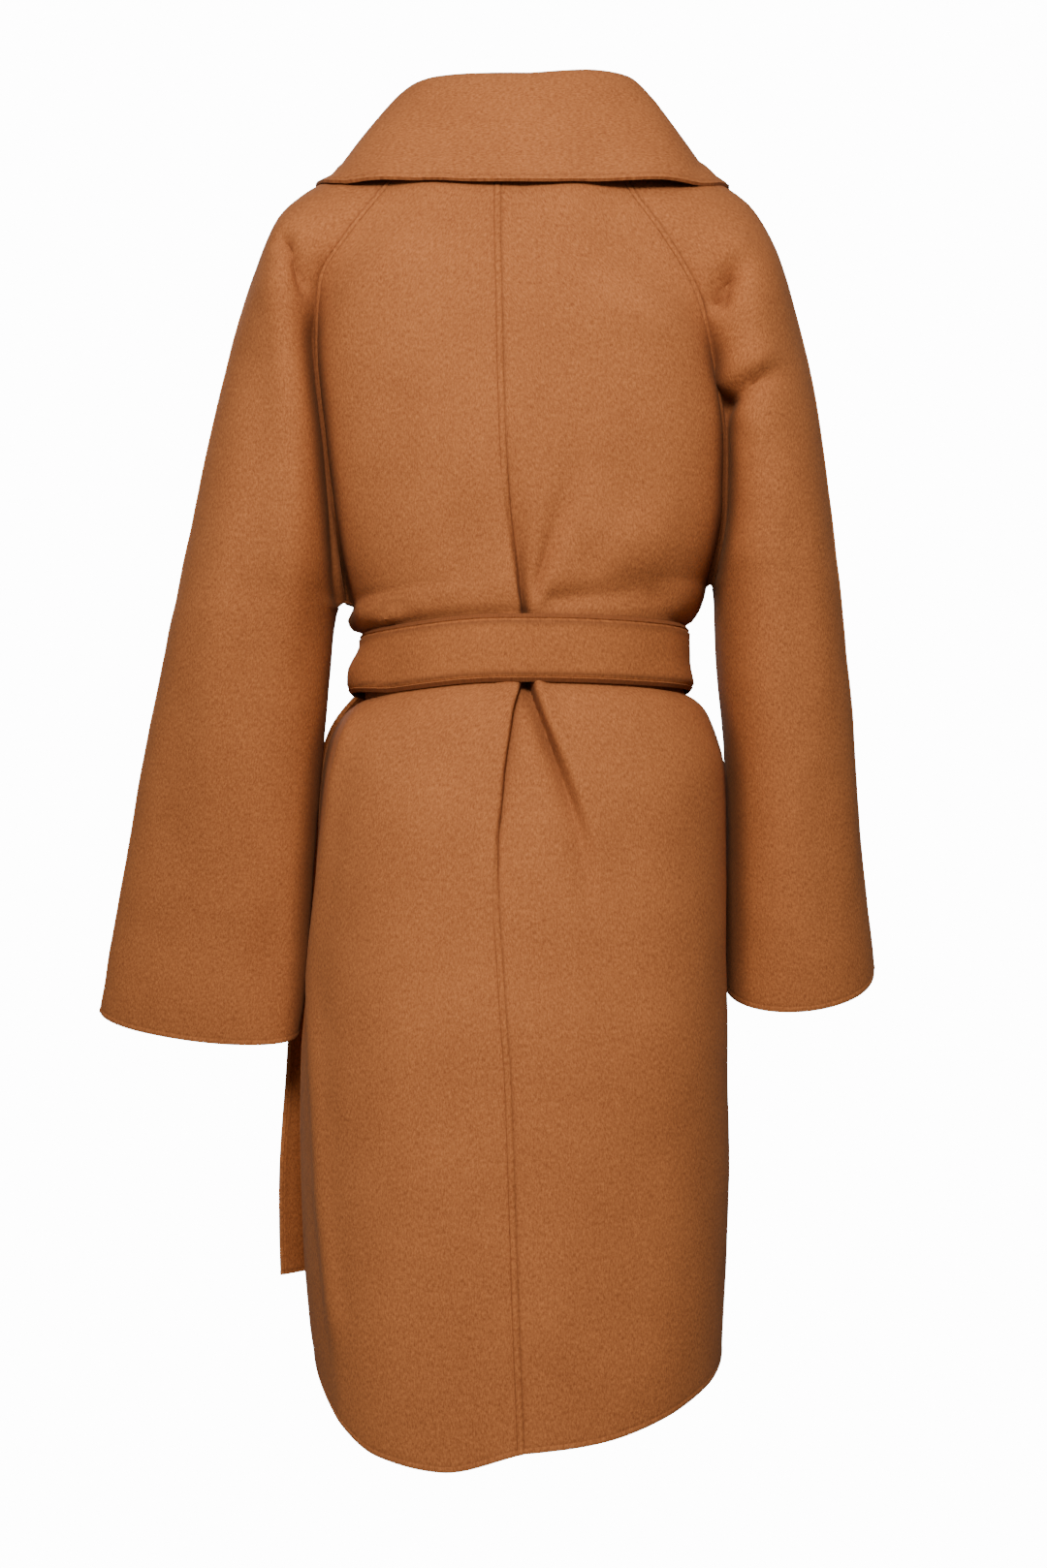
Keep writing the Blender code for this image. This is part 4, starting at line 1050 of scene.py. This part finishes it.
def fulled_wool(name, light, dark, painted_shade):
    """Camel wool, fulled and brushed, with shade painted into seams, deep folds and gaps."""
    material = bpy.data.materials.new(name)
    material.use_nodes = True
    tree = material.node_tree
    shader = tree.nodes["Principled BSDF"]
    place = add_node(tree, "ShaderNodeTexCoord").outputs["Object"]
    cloth = add_node(tree, "ShaderNodeUVMap", {"uv_map": "cloth"}).outputs["UV"]
    along_nap = add_node(tree, "ShaderNodeMapping", inputs={
        "Vector": cloth, "Scale": NAP_LIES}).outputs["Vector"]
    mix, noises = 0.0, {}
    for what, size, detail, rough, share in PATTERNS:
        noises[what] = add_node(tree, "ShaderNodeTexNoise", inputs={
            "Vector": along_nap if what == "fibres" else place, "Scale": 1 / size,
            "Detail": detail, "Roughness": rough}).outputs["Fac"]
        mix = add_node(tree, "ShaderNodeMath", {"operation": "MULTIPLY_ADD"}, {
            0: noises[what], 1: share, 2: mix}).outputs[0]
    spread = add_node(tree, "ShaderNodeMapRange", inputs={
        "Value": mix, "From Min": SPREAD[0], "From Max": SPREAD[1]})
    dyed = add_node(tree, "ShaderNodeMix", {"data_type": "RGBA"}, {
        "Factor": spread.outputs["Result"], "A": sheet_colour(dark), "B": sheet_colour(light)})
    # painted shade in the seam grooves, read from each vertex's groove depth
    groove_shade = add_node(tree, "ShaderNodeAttribute", {"attribute_name": "groove_shade"})
    # painted shade: ambient occlusion darkens the colour where other cloth is near
    occlusion = add_node(tree, "ShaderNodeAmbientOcclusion", {"samples": 8}, {"Distance": OCCLUSION_REACH})
    near_cloth_shade = add_node(tree, "ShaderNodeMapRange", inputs={
        "Value": occlusion.outputs["AO"], "From Min": NEAR_CLOTH_SHADE[0], "From Max": NEAR_CLOTH_SHADE[1],
        "To Min": NEAR_CLOTH_SHADE[2], "To Max": 0.0})
    colour = dyed.outputs["Result"]
    # both painted shades pull the colour towards the shade colour
    for depth in (groove_shade.outputs["Fac"], near_cloth_shade.outputs["Result"]):
        colour = add_node(tree, "ShaderNodeMix", {"data_type": "RGBA"}, {
            "Factor": depth, "A": colour, "B": sheet_colour(painted_shade)}).outputs["Result"]
    grain = add_node(tree, "ShaderNodeMath", {"operation": "MULTIPLY_ADD"}, {
        0: noises["mottle"], 1: MOTTLE_RELIEF, 2: noises["fibres"]})
    raised = add_node(tree, "ShaderNodeBump", inputs={
        "Strength": NAP_STRENGTH, "Distance": NAP_HEIGHT, "Height": grain.outputs[0]})
    tree.links.new(colour, shader.inputs["Base Color"])
    tree.links.new(raised.outputs["Normal"], shader.inputs["Normal"])
    for socket, value in (("Roughness", 0.88), ("IOR", 1.5), ("Specular IOR Level", 0.25),
                          ("Sheen Weight", 0.05), ("Sheen Roughness", 0.45),
                          ("Sheen Tint", sheet_colour("#D9A06C"))):
        shader.inputs[socket].default_value = value
    return material


PAINTED_SHADE = "#5A2F16"             # painted shade: the colour laid into seam grooves, deep folds and gaps
WOOL = fulled_wool("fulled_camel_wool", "#BC713D", "#874A24", PAINTED_SHADE)
BELT_WOOL = fulled_wool("fulled_camel_wool_belt", "#B86D39", "#844822", PAINTED_SHADE)
print("wool ready:", WOOL.name, "and", BELT_WOOL.name)

# %% [markdown]
# ## Giving each piece its wall
#
# The common sheet is cut back into its pieces, because each is cut and sewn on its own.
# Solidify grows both faces of the cloth from its middle surface, so the form stays where
# it is, and a tiny bevel rounds the turned edges and opens a fine line along each join.

# %% Cut a piece out of the sheet
BEVEL_SHARE = 0.22             # of the wall, rounded off along each edge
SHARP = math.radians(60)       # only corners that turn by more than this are rounded
GROOVE_SHADE_DEPTH, GROOVE_SHADE_MOST = 0.8 * MM, 0.5    # a groove this deep would take on all of the painted shade's colour, but the painted shade is kept to this share of it
                                       # colour, but it is kept to this share of it


def add_object(name, sheet, material):
    """A bmesh as a linked object of one material."""
    mesh = bpy.data.meshes.new(name)
    sheet.to_mesh(mesh)
    sheet.free()
    mesh.materials.append(material)
    for face in mesh.polygons:
        face.material_index = 0
    piece = bpy.data.objects.new(name, mesh)
    bpy.context.scene.collection.objects.link(piece)
    return piece


def finish_piece(sheet, name, wall, material, replaced):
    """A bmesh sheet as a finished piece of cloth that stands for its part of the frame."""
    sewn = sheet.verts.layers.float["relief"]
    # painted shade: the deeper a seam groove dips, the darker its colour
    groove_shades = sheet.verts.layers.float.new("groove_shade")
    for vertex in sheet.verts:
        vertex[groove_shades] = max(0.0, min(GROOVE_SHADE_MOST, -vertex[sewn] / GROOVE_SHADE_DEPTH))
    piece = add_object(name, sheet, material)
    piece.data.shade_smooth()
    solid = piece.modifiers.new("wall", "SOLIDIFY")
    solid.thickness, solid.offset = wall, 0.0
    edge = piece.modifiers.new("turned edge", "BEVEL")
    edge.width, edge.segments, edge.profile = wall * BEVEL_SHARE, 2, 0.5
    edge.limit_method, edge.angle_limit = "ANGLE", SHARP
    edge.harden_normals = True
    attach(piece, "root")
    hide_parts(replaced)
    return piece


def cut_out(whole, layer, name):
    piece = whole.copy()
    others = [f for f in piece.faces if f.material_index != layer]
    bmesh.ops.delete(piece, geom=others, context="FACES")
    return finish_piece(piece, "cloth_" + name, WALL, WOOL, name)


made = {name: cut_out(coat, layer, name) for layer, name in enumerate(pieces)}
surface = BVHTree.FromBMesh(coat)
print("cut out:", ", ".join(piece.name for piece in made.values()))

# %% [markdown]
# ## The collar
#
# The shawl collar is one long piece sewn round the neck and down both front edges. It
# stands up from the seam to a roll line and falls over onto the shoulders. Stations along
# the neckline say where the roll and the outer edge lie, a curve is drawn through each
# station, and every point is pushed clear of the coat under it.

# %% Where the collar is sewn on
STAND_COLUMNS = 12
FALL_COLUMNS = 22
COLLAR_STEP = 10.0 * MM        # longest row of faces along the collar
BESIDE_POINT = 6.0 * MM        # the front's slant is read this far to each side of a point
LONG_ROW = 38.0 * MM           # the neckline needs only these rows of the yoke


def on_front(side, row, out):
    """Point of the coat's front or front shoulder that lies this far out from the middle."""
    ring = sleeve_ring(side, row)
    cloth = ring[len(ring) // 2:] + mirrored(front_row(side, row), side)
    for a, b in zip(cloth, cloth[1:]):
        if b.x <= out <= a.x:
            return a.lerp(b, (a.x - out) / max(a.x - b.x, 1e-9))
    return cloth[-1].copy()


def off_front(side, row, out, lift):
    """Point lifted off the front, square to its surface, this far out from the middle."""
    near = on_front(side, row, out)
    way = on_front(side, row, out - BESIDE_POINT) - on_front(side, row, out + BESIDE_POINT)
    return near + Vector((-way.y, way.x, 0)).normalized() * lift


def lapel_start(side, row):
    """Inner half width of a lapel, and how fully it ends under the front over it."""
    edge = front_edge(side, row)
    if side == "right":
        return edge, 0.0
    covered = LAPEL_TUCK - front_edge("right", row)
    tucked = ease((covered - edge) / (4 * LAPEL_TUCK) + 0.5)
    return edge + max(covered - edge, 0.0) * tucked, tucked


COLLAR_ROWS = row_positions(YOKE["left"]["bz"], step=LONG_ROW)
print(len(COLLAR_ROWS), "rows of the yoke carry the collar")


# %% The line that carries the collar
def neckline(side):
    """The line that carries the collar, round the neck and down the front edge, and the
    length at which each row of the yoke is reached."""
    line = []
    for name in ("back", "sleeve_back", "sleeve_front", "front"):
        line += mirrored(panel_row(name, side, 0), side)
    reached = [length(line)]
    for row in COLLAR_ROWS[1:]:
        start, tucked = lapel_start(side, row)
        line.append(off_front(side, row, start, (COLLAR_LIFT - ROLL / 2) * tucked))
        reached.append(length(line))
    return line, reached


print("necklines:", [round(length(neckline(side)[0]), 3) for side in ("left", "right")])

# %% Stations along the neckline
NAPE, SHOULDER = 40.0 * MM, 90.0 * MM  # lengths along the neckline, from the centre back
SETTLE = (NAPE, 60.0 * MM)     # the roll's shift dies away past the nape
LEVEL = (SHOULDER, 40.0 * MM)  # and its rise past the shoulder
CORNER = 118.0 * MM            # the collar's corner is tucked in here, by
TUCK, TUCK_WIDE = 4.5 * MM, 30.0 * MM
LEAN = 2.0 * MM                # the stand leans back from the fall by this
NOSE, NOSE_LESS = 0.22, 0.13   # roundness of the roll at the nape, and what it loses
CORNER_STEPS = 3               # stations between the collar's corner and the lapel's


def neck_stations(side, line):
    """One list of numbers for each station round the neck: length along the neckline, the
    roll, the outer edge, and the collar's heading where it leaves the seam and the roll."""
    stations = []
    for place in range(len(COLLAR["path"])):
        at = {name: values[place] for name, values in COLLAR.items()}
        roll, hem = (Vector([at[of + axis] for axis in "xyz"]) for of in ("roll_", "edge_"))
        path = at["path"]
        if side == "right":
            path += NECK_SHIFT * ease(path / COLLAR["path"][3])
            roll.z += ROLL_RISE * ease(path / NAPE) * (1 - ramp(path, LEVEL))
            hem.x -= COLLAR_NARROW * ease(path / COLLAR["path"][3])
        seam = along(line, [path / length(line)])[0]
        roll.x += outward(side, ROLL_SHIFT) * (1 - ramp(path, SETTLE))
        hem.x -= TUCK * bump(path, CORNER, TUCK_WIDE)
        away = Vector((hem.x - roll.x, hem.y - roll.y, 0)).normalized()
        rise = (roll - seam) * 0.5 - away * LEAN
        round_off = NOSE - NOSE_LESS * ease(path / COLLAR["path"][2])
        nose = away * (hem - roll).length * round_off
        stations.append([path, *roll, *hem, *rise, *nose])
    return stations


def collar_stations(side):
    """The neckline, and its stations round the neck and down the lapel."""
    line, reached = neckline(side)
    stations = neck_stations(side, line)
    corner, top = Vector(stations[-1][4:7]), LAPEL["row"][0] / MM / 1000
    for place in range(-CORNER_STEPS, 3 * len(LAPEL[side]) - 2):
        row = top * (1 + place / (CORNER_STEPS + 1))
        if place > 0:
            row = share_at(LAPEL["row"], place / 3)
        start, tucked = lapel_start(side, row)
        roll = off_front(side, row, start + ROLL, COLLAR_LIFT)
        outer = max(smooth(LAPEL[side], max(0, place) / 3), start + 3 * ROLL)
        hem = off_front(side, max(row, top), outer, COLLAR_LIFT)
        hem = hem.lerp(corner, max(0.0, 1 - row / top))
        rise = Vector((ROLL * (2 * tucked - 1), 0, 0))
        after = next(i for i, r in enumerate(COLLAR_ROWS) if r >= row)
        share = (row - COLLAR_ROWS[after - 1]) / (COLLAR_ROWS[after] - COLLAR_ROWS[after - 1])
        path = reached[after - 1] + (reached[after] - reached[after - 1]) * share
        stations.append([path, *roll, *hem, *rise, ROLL, 0.0, 0.0])
    return line, stations


print("stations of the collar:", [len(collar_stations(side)[1]) for side in ("left", "right")])


# %% Lay out the collar, clear of the coat
FULLEST = 112.0 * MM           # the fall is fullest here along the neckline, by
FULLNESS, FULL_WIDE = 16.0 * MM, 40.0 * MM
SINK = 2.0 * MM                # and sinks by this elsewhere
CLOSEST, CLOSER = 120.0 * MM, 0.55     # here its edge lies closer to the coat, by this share
ROLL_HANDLE = 7.0 * MM         # how far the stand runs straight up to the roll
EDGE_HANDLE = 0.42             # share of the fall that hangs almost straight to its edge
UNDER_SEAM = 0.6               # share of the lift that a standing collar keeps at its seam
UPRIGHT = 1.5                  # the higher, the sooner a steep collar counts as standing
ASIDE = 0.01                   # the seam's heading is read this share of its length each way


def clear_of(points, parts):
    """The points, each moved out until it clears the coat by its share of the lift."""
    for p, share in list(zip(points, parts)) * 3:
        near, facing, _, _ = surface.find_nearest(p)
        p += facing * max(0.0, COLLAR_LIFT * share - (p - near).dot(facing))
    return points


def collar_row(side, line, numbers):
    """A section of the collar: the stand up to the roll, and the fall clear of the coat."""
    share = numbers[0] / length(line)
    seam = along(line, [share])[0]
    way = along(line, [min(1, share + ASIDE)])[0] - along(line, [max(0, share - ASIDE)])[0]
    roll, hem, rise, nose = (Vector(numbers[i:i + 3]) for i in (1, 4, 7, 10))
    found = surface.find_nearest(mirrored([seam], side)[0])
    normal = mirrored([found[1]], side)[0]
    standing = ease(rise.normalized().dot(normal) * UPRIGHT)
    roll = mirrored(clear_of(mirrored([roll], side), [1]), side)[0]
    seam += way.cross(normal).normalized() * COLLAR_SEAM * (1 + standing)
    seam += normal * COLLAR_SEAM * (0.5 + standing)
    stand = bezier(seam, seam + rise, roll - nose.normalized() * ROLL_HANDLE, roll)
    full = Vector((0, 0, FULLNESS * bump(numbers[0], FULLEST, FULL_WIDE) - SINK))
    fall = bezier(roll, roll + nose, hem - (hem - roll) * EDGE_HANDLE + full, hem)
    outer = [1 - d / length(fall) for d in NEAR[::-1]]
    spots = [outer[0] * u for u in even(FALL_COLUMNS)[:-1]] + outer
    points = along(stand, even(STAND_COLUMNS)) + along(fall, spots)[1:]
    closer = CLOSER * bump(numbers[0], CLOSEST, FULL_WIDE)
    parts = ([max(ease(u), UNDER_SEAM * standing) for u in even(STAND_COLUMNS)]
             + [1 - closer * ease(u) for u in spots[1:]])
    return clear_of(mirrored(points, side), parts)


# %% The collar's rows, from the right lapel's end to the left one's
def collar_rows():
    halves = []
    for side in ("left", "right"):
        line, stations = collar_stations(side)
        places = []
        for k, (a, b) in enumerate(zip(stations, stations[1:])):
            apart = max((Vector(a[i:i + 3]) - Vector(b[i:i + 3])).length for i in (1, 4))
            count = max(1, math.ceil(apart / COLLAR_STEP))
            places += [k + n / count for n in range(count)]
        columns = list(zip(*stations))
        halves.append([collar_row(side, line, [smooth(c, place) for c in columns])
                       for place in places + [len(stations) - 1]])
    left, right = halves
    for a, b in zip(left[0], right[0]):
        a.x = b.x = (a.x + b.x) / 2
    return right[::-1] + left[1:]


# %% Make the collar
CALM = 0.5                     # share of the faint waves that a loose piece keeps


def loose_piece(name, rows, finish, wall, material, replaced, flip=False):
    """A piece that hangs on its own: its grid, its relief and faint waves, and its wall."""
    sheet = bmesh.new()
    flat_size[name] = add_grid(sheet, rows, FINISH[finish], 0, flip)[::-1]
    sheet.normal_update()
    sewn = sheet.verts.layers.float["relief"]
    for vertex in sheet.verts:
        lift = vertex[sewn]
        for size, high in WAVES:
            lift += noise.noise(vertex.co / (size * MM)) * high * MM * CALM
        vertex.co = vertex.co + vertex.normal * lift
    return finish_piece(sheet, name, wall, material, replaced)


made["collar"] = loose_piece("cloth_collar", collar_rows(), "collar", WALL, WOOL,
                             "collar")
print("collar, longest row and depth:", [round(v, 3) for v in flat_size["cloth_collar"]])

# %% [markdown]
# ## The belt and its knot
#
# The belt is a strip of the same wool, two layers thick, with a stitched edge on both
# sides. It goes once round the waist over the coat and is tied in a half knot whose two
# ends hang down. Its lower edge curls out where it turns round the wearer's left hip.

# %% The band round the waist
BELT_COLUMNS, BELT_ROWS = 176, 5
CURL = 10.0 * MM               # how far the lower edge curls out at the wearer's left
CURL_X, CURL_Y = (102.0 * MM, 32.0 * MM), (-50.0 * MM, 30.0 * MM)   # from where, over what
CURL_DOWN, CURL_LIFT = (0.15, 0.50), 0.35    # shares of the width, and how much the edge lifts
LIFT_DOWN = (0.8, 0.2)
FLARE = 3.0 * MM               # and how far it stands out at the right
FLARE_X, FLARE_DOWN = (95.0 * MM, 30.0 * MM), (0.55, 0.35)
SWELL = 0.6 * MM               # the belt's middle stands out by this
OVER_LAP = 30.0 * MM           # it rises over the lapped fronts within this of the side


def waist_ring(count, lift):
    """Points round the waist, off the coat's middle surface, from centre back by the left."""
    row = UNDERARM + BODY["z"].index(BELT_MIDDLE)
    halves = []
    for side in ("left", "right"):
        back = section(side, row, "back")
        front = section(side, row, "front")[::-1]
        halves.append(mirrored(back + front[1:], side))
    loop = halves[0] + halves[1][::-1][1:-1]
    ring = along(loop + [loop[0]], even(count))[:-1]
    placed = []
    for k, p in enumerate(ring):
        way = ring[(k + 1) % count] - ring[k - 1]
        out = Vector((way.y, -way.x, 0)).normalized()
        if out.dot(p) < 0:
            out = -out
        placed.append((p + out * (lift + LAP_CLEARANCE / 2 * ease(-p.y / OVER_LAP)), out))
    return placed


def belt_rows():
    ring = waist_ring(BELT_COLUMNS, BELT_LIFT)
    rows = []
    for share in shares(BELT_WIDTH, BELT_ROWS):
        row = []
        for p, out in ring + [ring[0]]:
            sag = belt_sag("left" if p.x > 0 else "right", abs(p.x))
            curled = CURL * ramp(p.x, CURL_X) * ramp(p.y, CURL_Y) * ramp(share, CURL_DOWN)
            flared = FLARE * ramp(-p.x, FLARE_X) * ramp(share, FLARE_DOWN)
            spot = p + out * (curled + flared + SWELL * math.sin(math.pi * share))
            lifted = curled * CURL_LIFT * ramp(share, LIFT_DOWN)
            spot.z = BELT_TOP - BELT_WIDTH * share - sag + lifted
            row.append(spot)
        rows.append(row)
    return rows


made["belt_band"] = loose_piece("cloth_belt_band", belt_rows(), "belt", BELT_WALL, BELT_WOOL,
                                "belt_band", flip=True)
print("belt band:", [round(v, 3) for v in flat_size["cloth_belt_band"]])

# %% The belt's two ends
TAIL_COLUMNS = 4
FREE = (-470.0 * MM, -120.0 * MM)     # a tail starts to sway here, and does over the second
SWING, SWING_FROM = 17, -0.45  # radians of its sway for each metre down, from here
SWAYS = {"belt_tail_long": 2.0 * MM, "belt_tail_short": -2.4 * MM}


def tail_rows(lines, sway):
    """Rows of one belt end, with a slow sway so that it doesn't hang dead straight."""
    rows = []
    for place in crowded_end(row_positions(lines["z"]), abs(lines["z"][-1] - lines["z"][-2])):
        z = smooth(lines["z"], place)
        a, b = (Vector((smooth(lines[of + "_x"], place), smooth(lines[of + "_y"], place), z))
                for of in ("out", "in"))
        square = Vector((b.y - a.y, a.x - b.x, 0)).normalized()
        turn = sway * ramp(z, FREE) * math.sin((z - SWING_FROM) * SWING)
        rows.append([a.lerp(b, u) + square * turn * (1.2 - u)
                     for u in shares(BELT_WIDTH, TAIL_COLUMNS)])
    return rows


for tail, sway in SWAYS.items():
    made[tail] = loose_piece("cloth_" + tail, tail_rows(TAILS[tail], sway), "tail", BELT_WALL,
                             BELT_WOOL, tail)
print("belt, flat lengths:", [round(max(flat_size["cloth_" + name]), 3)
                              for name in ("belt_band", *SWAYS)])

# %% The half knot
WRAP_WIDTH = 34.0 * MM         # the belt, folded narrower, where it passes over the knot
WRAP_FOLDS, WRAP_CROWN = 0.9 * MM, 1.2 * MM  # height of its folds, and of its rounded middle
WRAP_DRIFT = 6.0 * MM          # it crosses the knot at a slant, by this
WRAP_GRID = (72, 16)           # faces round the wrap, and across it
WRAP_DEEP, WRAP_HIGH = 0.93, 0.97      # shares of the knot's size that the wrap reaches
GATHER, PINCH = 0.05, 0.12     # shares by which the lump is gathered and pinched in
LUMP_DEEP, LUMP_HIGH = 0.86, 0.94      # and the shares that the lump under it reaches
KNOT_TURN = 1.3                # it faces a little more to the front than straight out


def squared(value, power=0.72):
    return math.copysign(abs(value) ** power, value)


def make_knot():
    """A soft lump of gathered belt with one turn of the belt passed over it."""
    lump = bmesh.new()
    uv = lump.loops.layers.uv.new("cloth")
    core = bmesh.ops.create_uvsphere(lump, u_segments=64, v_segments=40, radius=1.0)["verts"]
    for v in core:
        x, y, z = (squared(c) for c in v.co)
        gather = GATHER * math.cos(z * 9 + 3 * abs(x)) * ease(abs(x) / 0.7)
        pinch = 1 - PINCH * bump(x, 0.0, 0.35)
        v.co = Vector((x * KNOT["wide"] / 2, y * KNOT["deep"] / 2 * (LUMP_DEEP + gather),
                       z * KNOT["high"] / 2 * LUMP_HIGH * pinch))
    turns, wide = WRAP_GRID
    strap = bmesh.ops.create_grid(lump, x_segments=wide, y_segments=turns, size=1.0)["verts"]
    for v in strap:
        u, angle = v.co.x, (v.co.y + 1) * math.pi
        fold = WRAP_FOLDS * math.cos(u * 7 + 0.6 * math.sin(angle)) + WRAP_CROWN * (1 - u ** 8)
        v.co = Vector((u * WRAP_WIDTH / 2 + WRAP_DRIFT * math.sin(angle * 0.5),
                       -squared(math.sin(angle), 0.8) * (KNOT["deep"] / 2 * WRAP_DEEP + fold),
                       squared(math.cos(angle), 0.8) * (KNOT["high"] / 2 * WRAP_HIGH + fold)))
    for face in lump.faces:
        for loop in face.loops:
            loop[uv].uv = (loop.vert.co.x, loop.vert.co.z)
    bmesh.ops.remove_doubles(lump, verts=strap, dist=1e-6)
    facing = math.atan2(-KNOT["y"] * KNOT_TURN, KNOT["x"])
    bmesh.ops.rotate(lump, verts=lump.verts, cent=(0, 0, 0),
                     matrix=Matrix.Rotation(math.pi / 2 - facing, 3, "Z"))
    bmesh.ops.translate(lump, verts=lump.verts, vec=(KNOT["x"], KNOT["y"], KNOT["z"]))
    bmesh.ops.recalc_face_normals(lump, faces=lump.faces)
    return lump


knot = add_object("cloth_belt_knot", make_knot(), BELT_WOOL)
knot.data.shade_smooth()
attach(knot, "root")
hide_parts("belt_knot")
made["belt_knot"] = knot
print("belt:", ", ".join(made[n].name for n in made if n.startswith("belt")))

# %% [markdown]
# ## What each piece was cut to
#
# Cloth keeps its area when it is worn, so each piece's area is printed with the flat size
# that it was cut to. The widths and lengths are those of the pattern piece's bounding box,
# and the area is smaller, because the pieces taper towards the neck.

def cloth_area(piece):
    """Half the area of both faces of a finished piece."""
    posed = piece.evaluated_get(bpy.context.evaluated_depsgraph_get())
    area = sum(face.area for face in posed.to_mesh().polygons)
    posed.to_mesh_clear()
    return area / 2


for name, piece in made.items():
    print(name, "area", round(cloth_area(piece), 4), "flat",
          [round(v, 3) for v in flat_size.get(name) or flat_size.get("cloth_" + name) or (0, 0)])

# %% [markdown]
# ## Floor and light
#
# The coat is shown in a white studio. A round light a metre above the camera shows the
# folds, a larger and weaker one fills from the left, and a third lights the front. Area
# lights are used because their size sets how soft the shadows are, and the white
# surroundings fill what they miss. Point lights would cut the shadows too hard.

# %% The paper that the coat stands in front of
WHITE = 14.0                   # brightness at which the surroundings read as clean white


def seen_white(tree, plain, output):
    """What lights the coat as it is, and is overexposed to white where it is seen."""
    kind = "ShaderNodeEmission" if output == "Material Output" else "ShaderNodeBackground"
    bright = add_node(tree, kind, inputs={"Color": (1.0, 1.0, 1.0, 1.0), "Strength": WHITE})
    seen = add_node(tree, "ShaderNodeLightPath").outputs["Is Camera Ray"]
    both = add_node(tree, "ShaderNodeMixShader", inputs={0: seen, 1: plain, 2: bright.outputs[0]})
    tree.links.new(both.outputs[0], tree.nodes[output].inputs["Surface"])


def studio_paper():
    """Seamless matt paper, which lights the coat like grey card."""
    material = bpy.data.materials.new("studio_paper")
    material.use_nodes = True
    shader = material.node_tree.nodes["Principled BSDF"]
    shader.inputs["Base Color"].default_value = sheet_colour("#8C8C8C")
    shader.inputs["Roughness"].default_value = 0.95
    shader.inputs["Specular IOR Level"].default_value = 0.1
    seen_white(material.node_tree, shader.outputs["BSDF"], "Material Output")
    return material


FLOOR, FLOOR_SIZE = -1.45, 9.0         # its height and half its width, in metres
ground = bmesh.new()
bmesh.ops.create_grid(ground, x_segments=2, y_segments=2, size=FLOOR_SIZE)
bmesh.ops.translate(ground, verts=ground.verts, vec=(0, 0, FLOOR))
floor = add_object("studio_floor", ground, studio_paper())


# %% The lights and the surroundings
def area_light(name, place, target, size, power):
    data = bpy.data.lights.new(name, "AREA")
    data.shape, data.size, data.energy = "DISK", size, power
    lamp = bpy.data.objects.new(name, data)
    lamp.location = place
    lamp.rotation_euler = (Vector(target) - Vector(place)).to_track_quat("-Z", "Y").to_euler()
    bpy.context.scene.collection.objects.link(lamp)


for lamp in (                  # name, place, aim, width and power
    ("key", (0.08, 1.95, 0.50), (0.0, 0.0, -0.25), 0.6, 53.0),
    ("fill", (1.8, 1.6, 0.2), (0.0, 0.0, -0.5), 1.8, 4.0),
    ("front", (0.6, -2.6, 0.8), (0.0, 0.0, -0.5), 1.8, 30.0),
):
    area_light(*lamp)
world = bpy.data.worlds.new("white_surroundings")
bpy.context.scene.world = world
world.use_nodes = True
glow = world.node_tree.nodes["Background"]
glow.inputs["Color"].default_value = (0.88, 0.94, 1.0, 1.0)
glow.inputs["Strength"].default_value = 0.29
seen_white(world.node_tree, glow.outputs[0], "World Output")
print("lights:", ", ".join(lamp.name for lamp in bpy.data.lights))
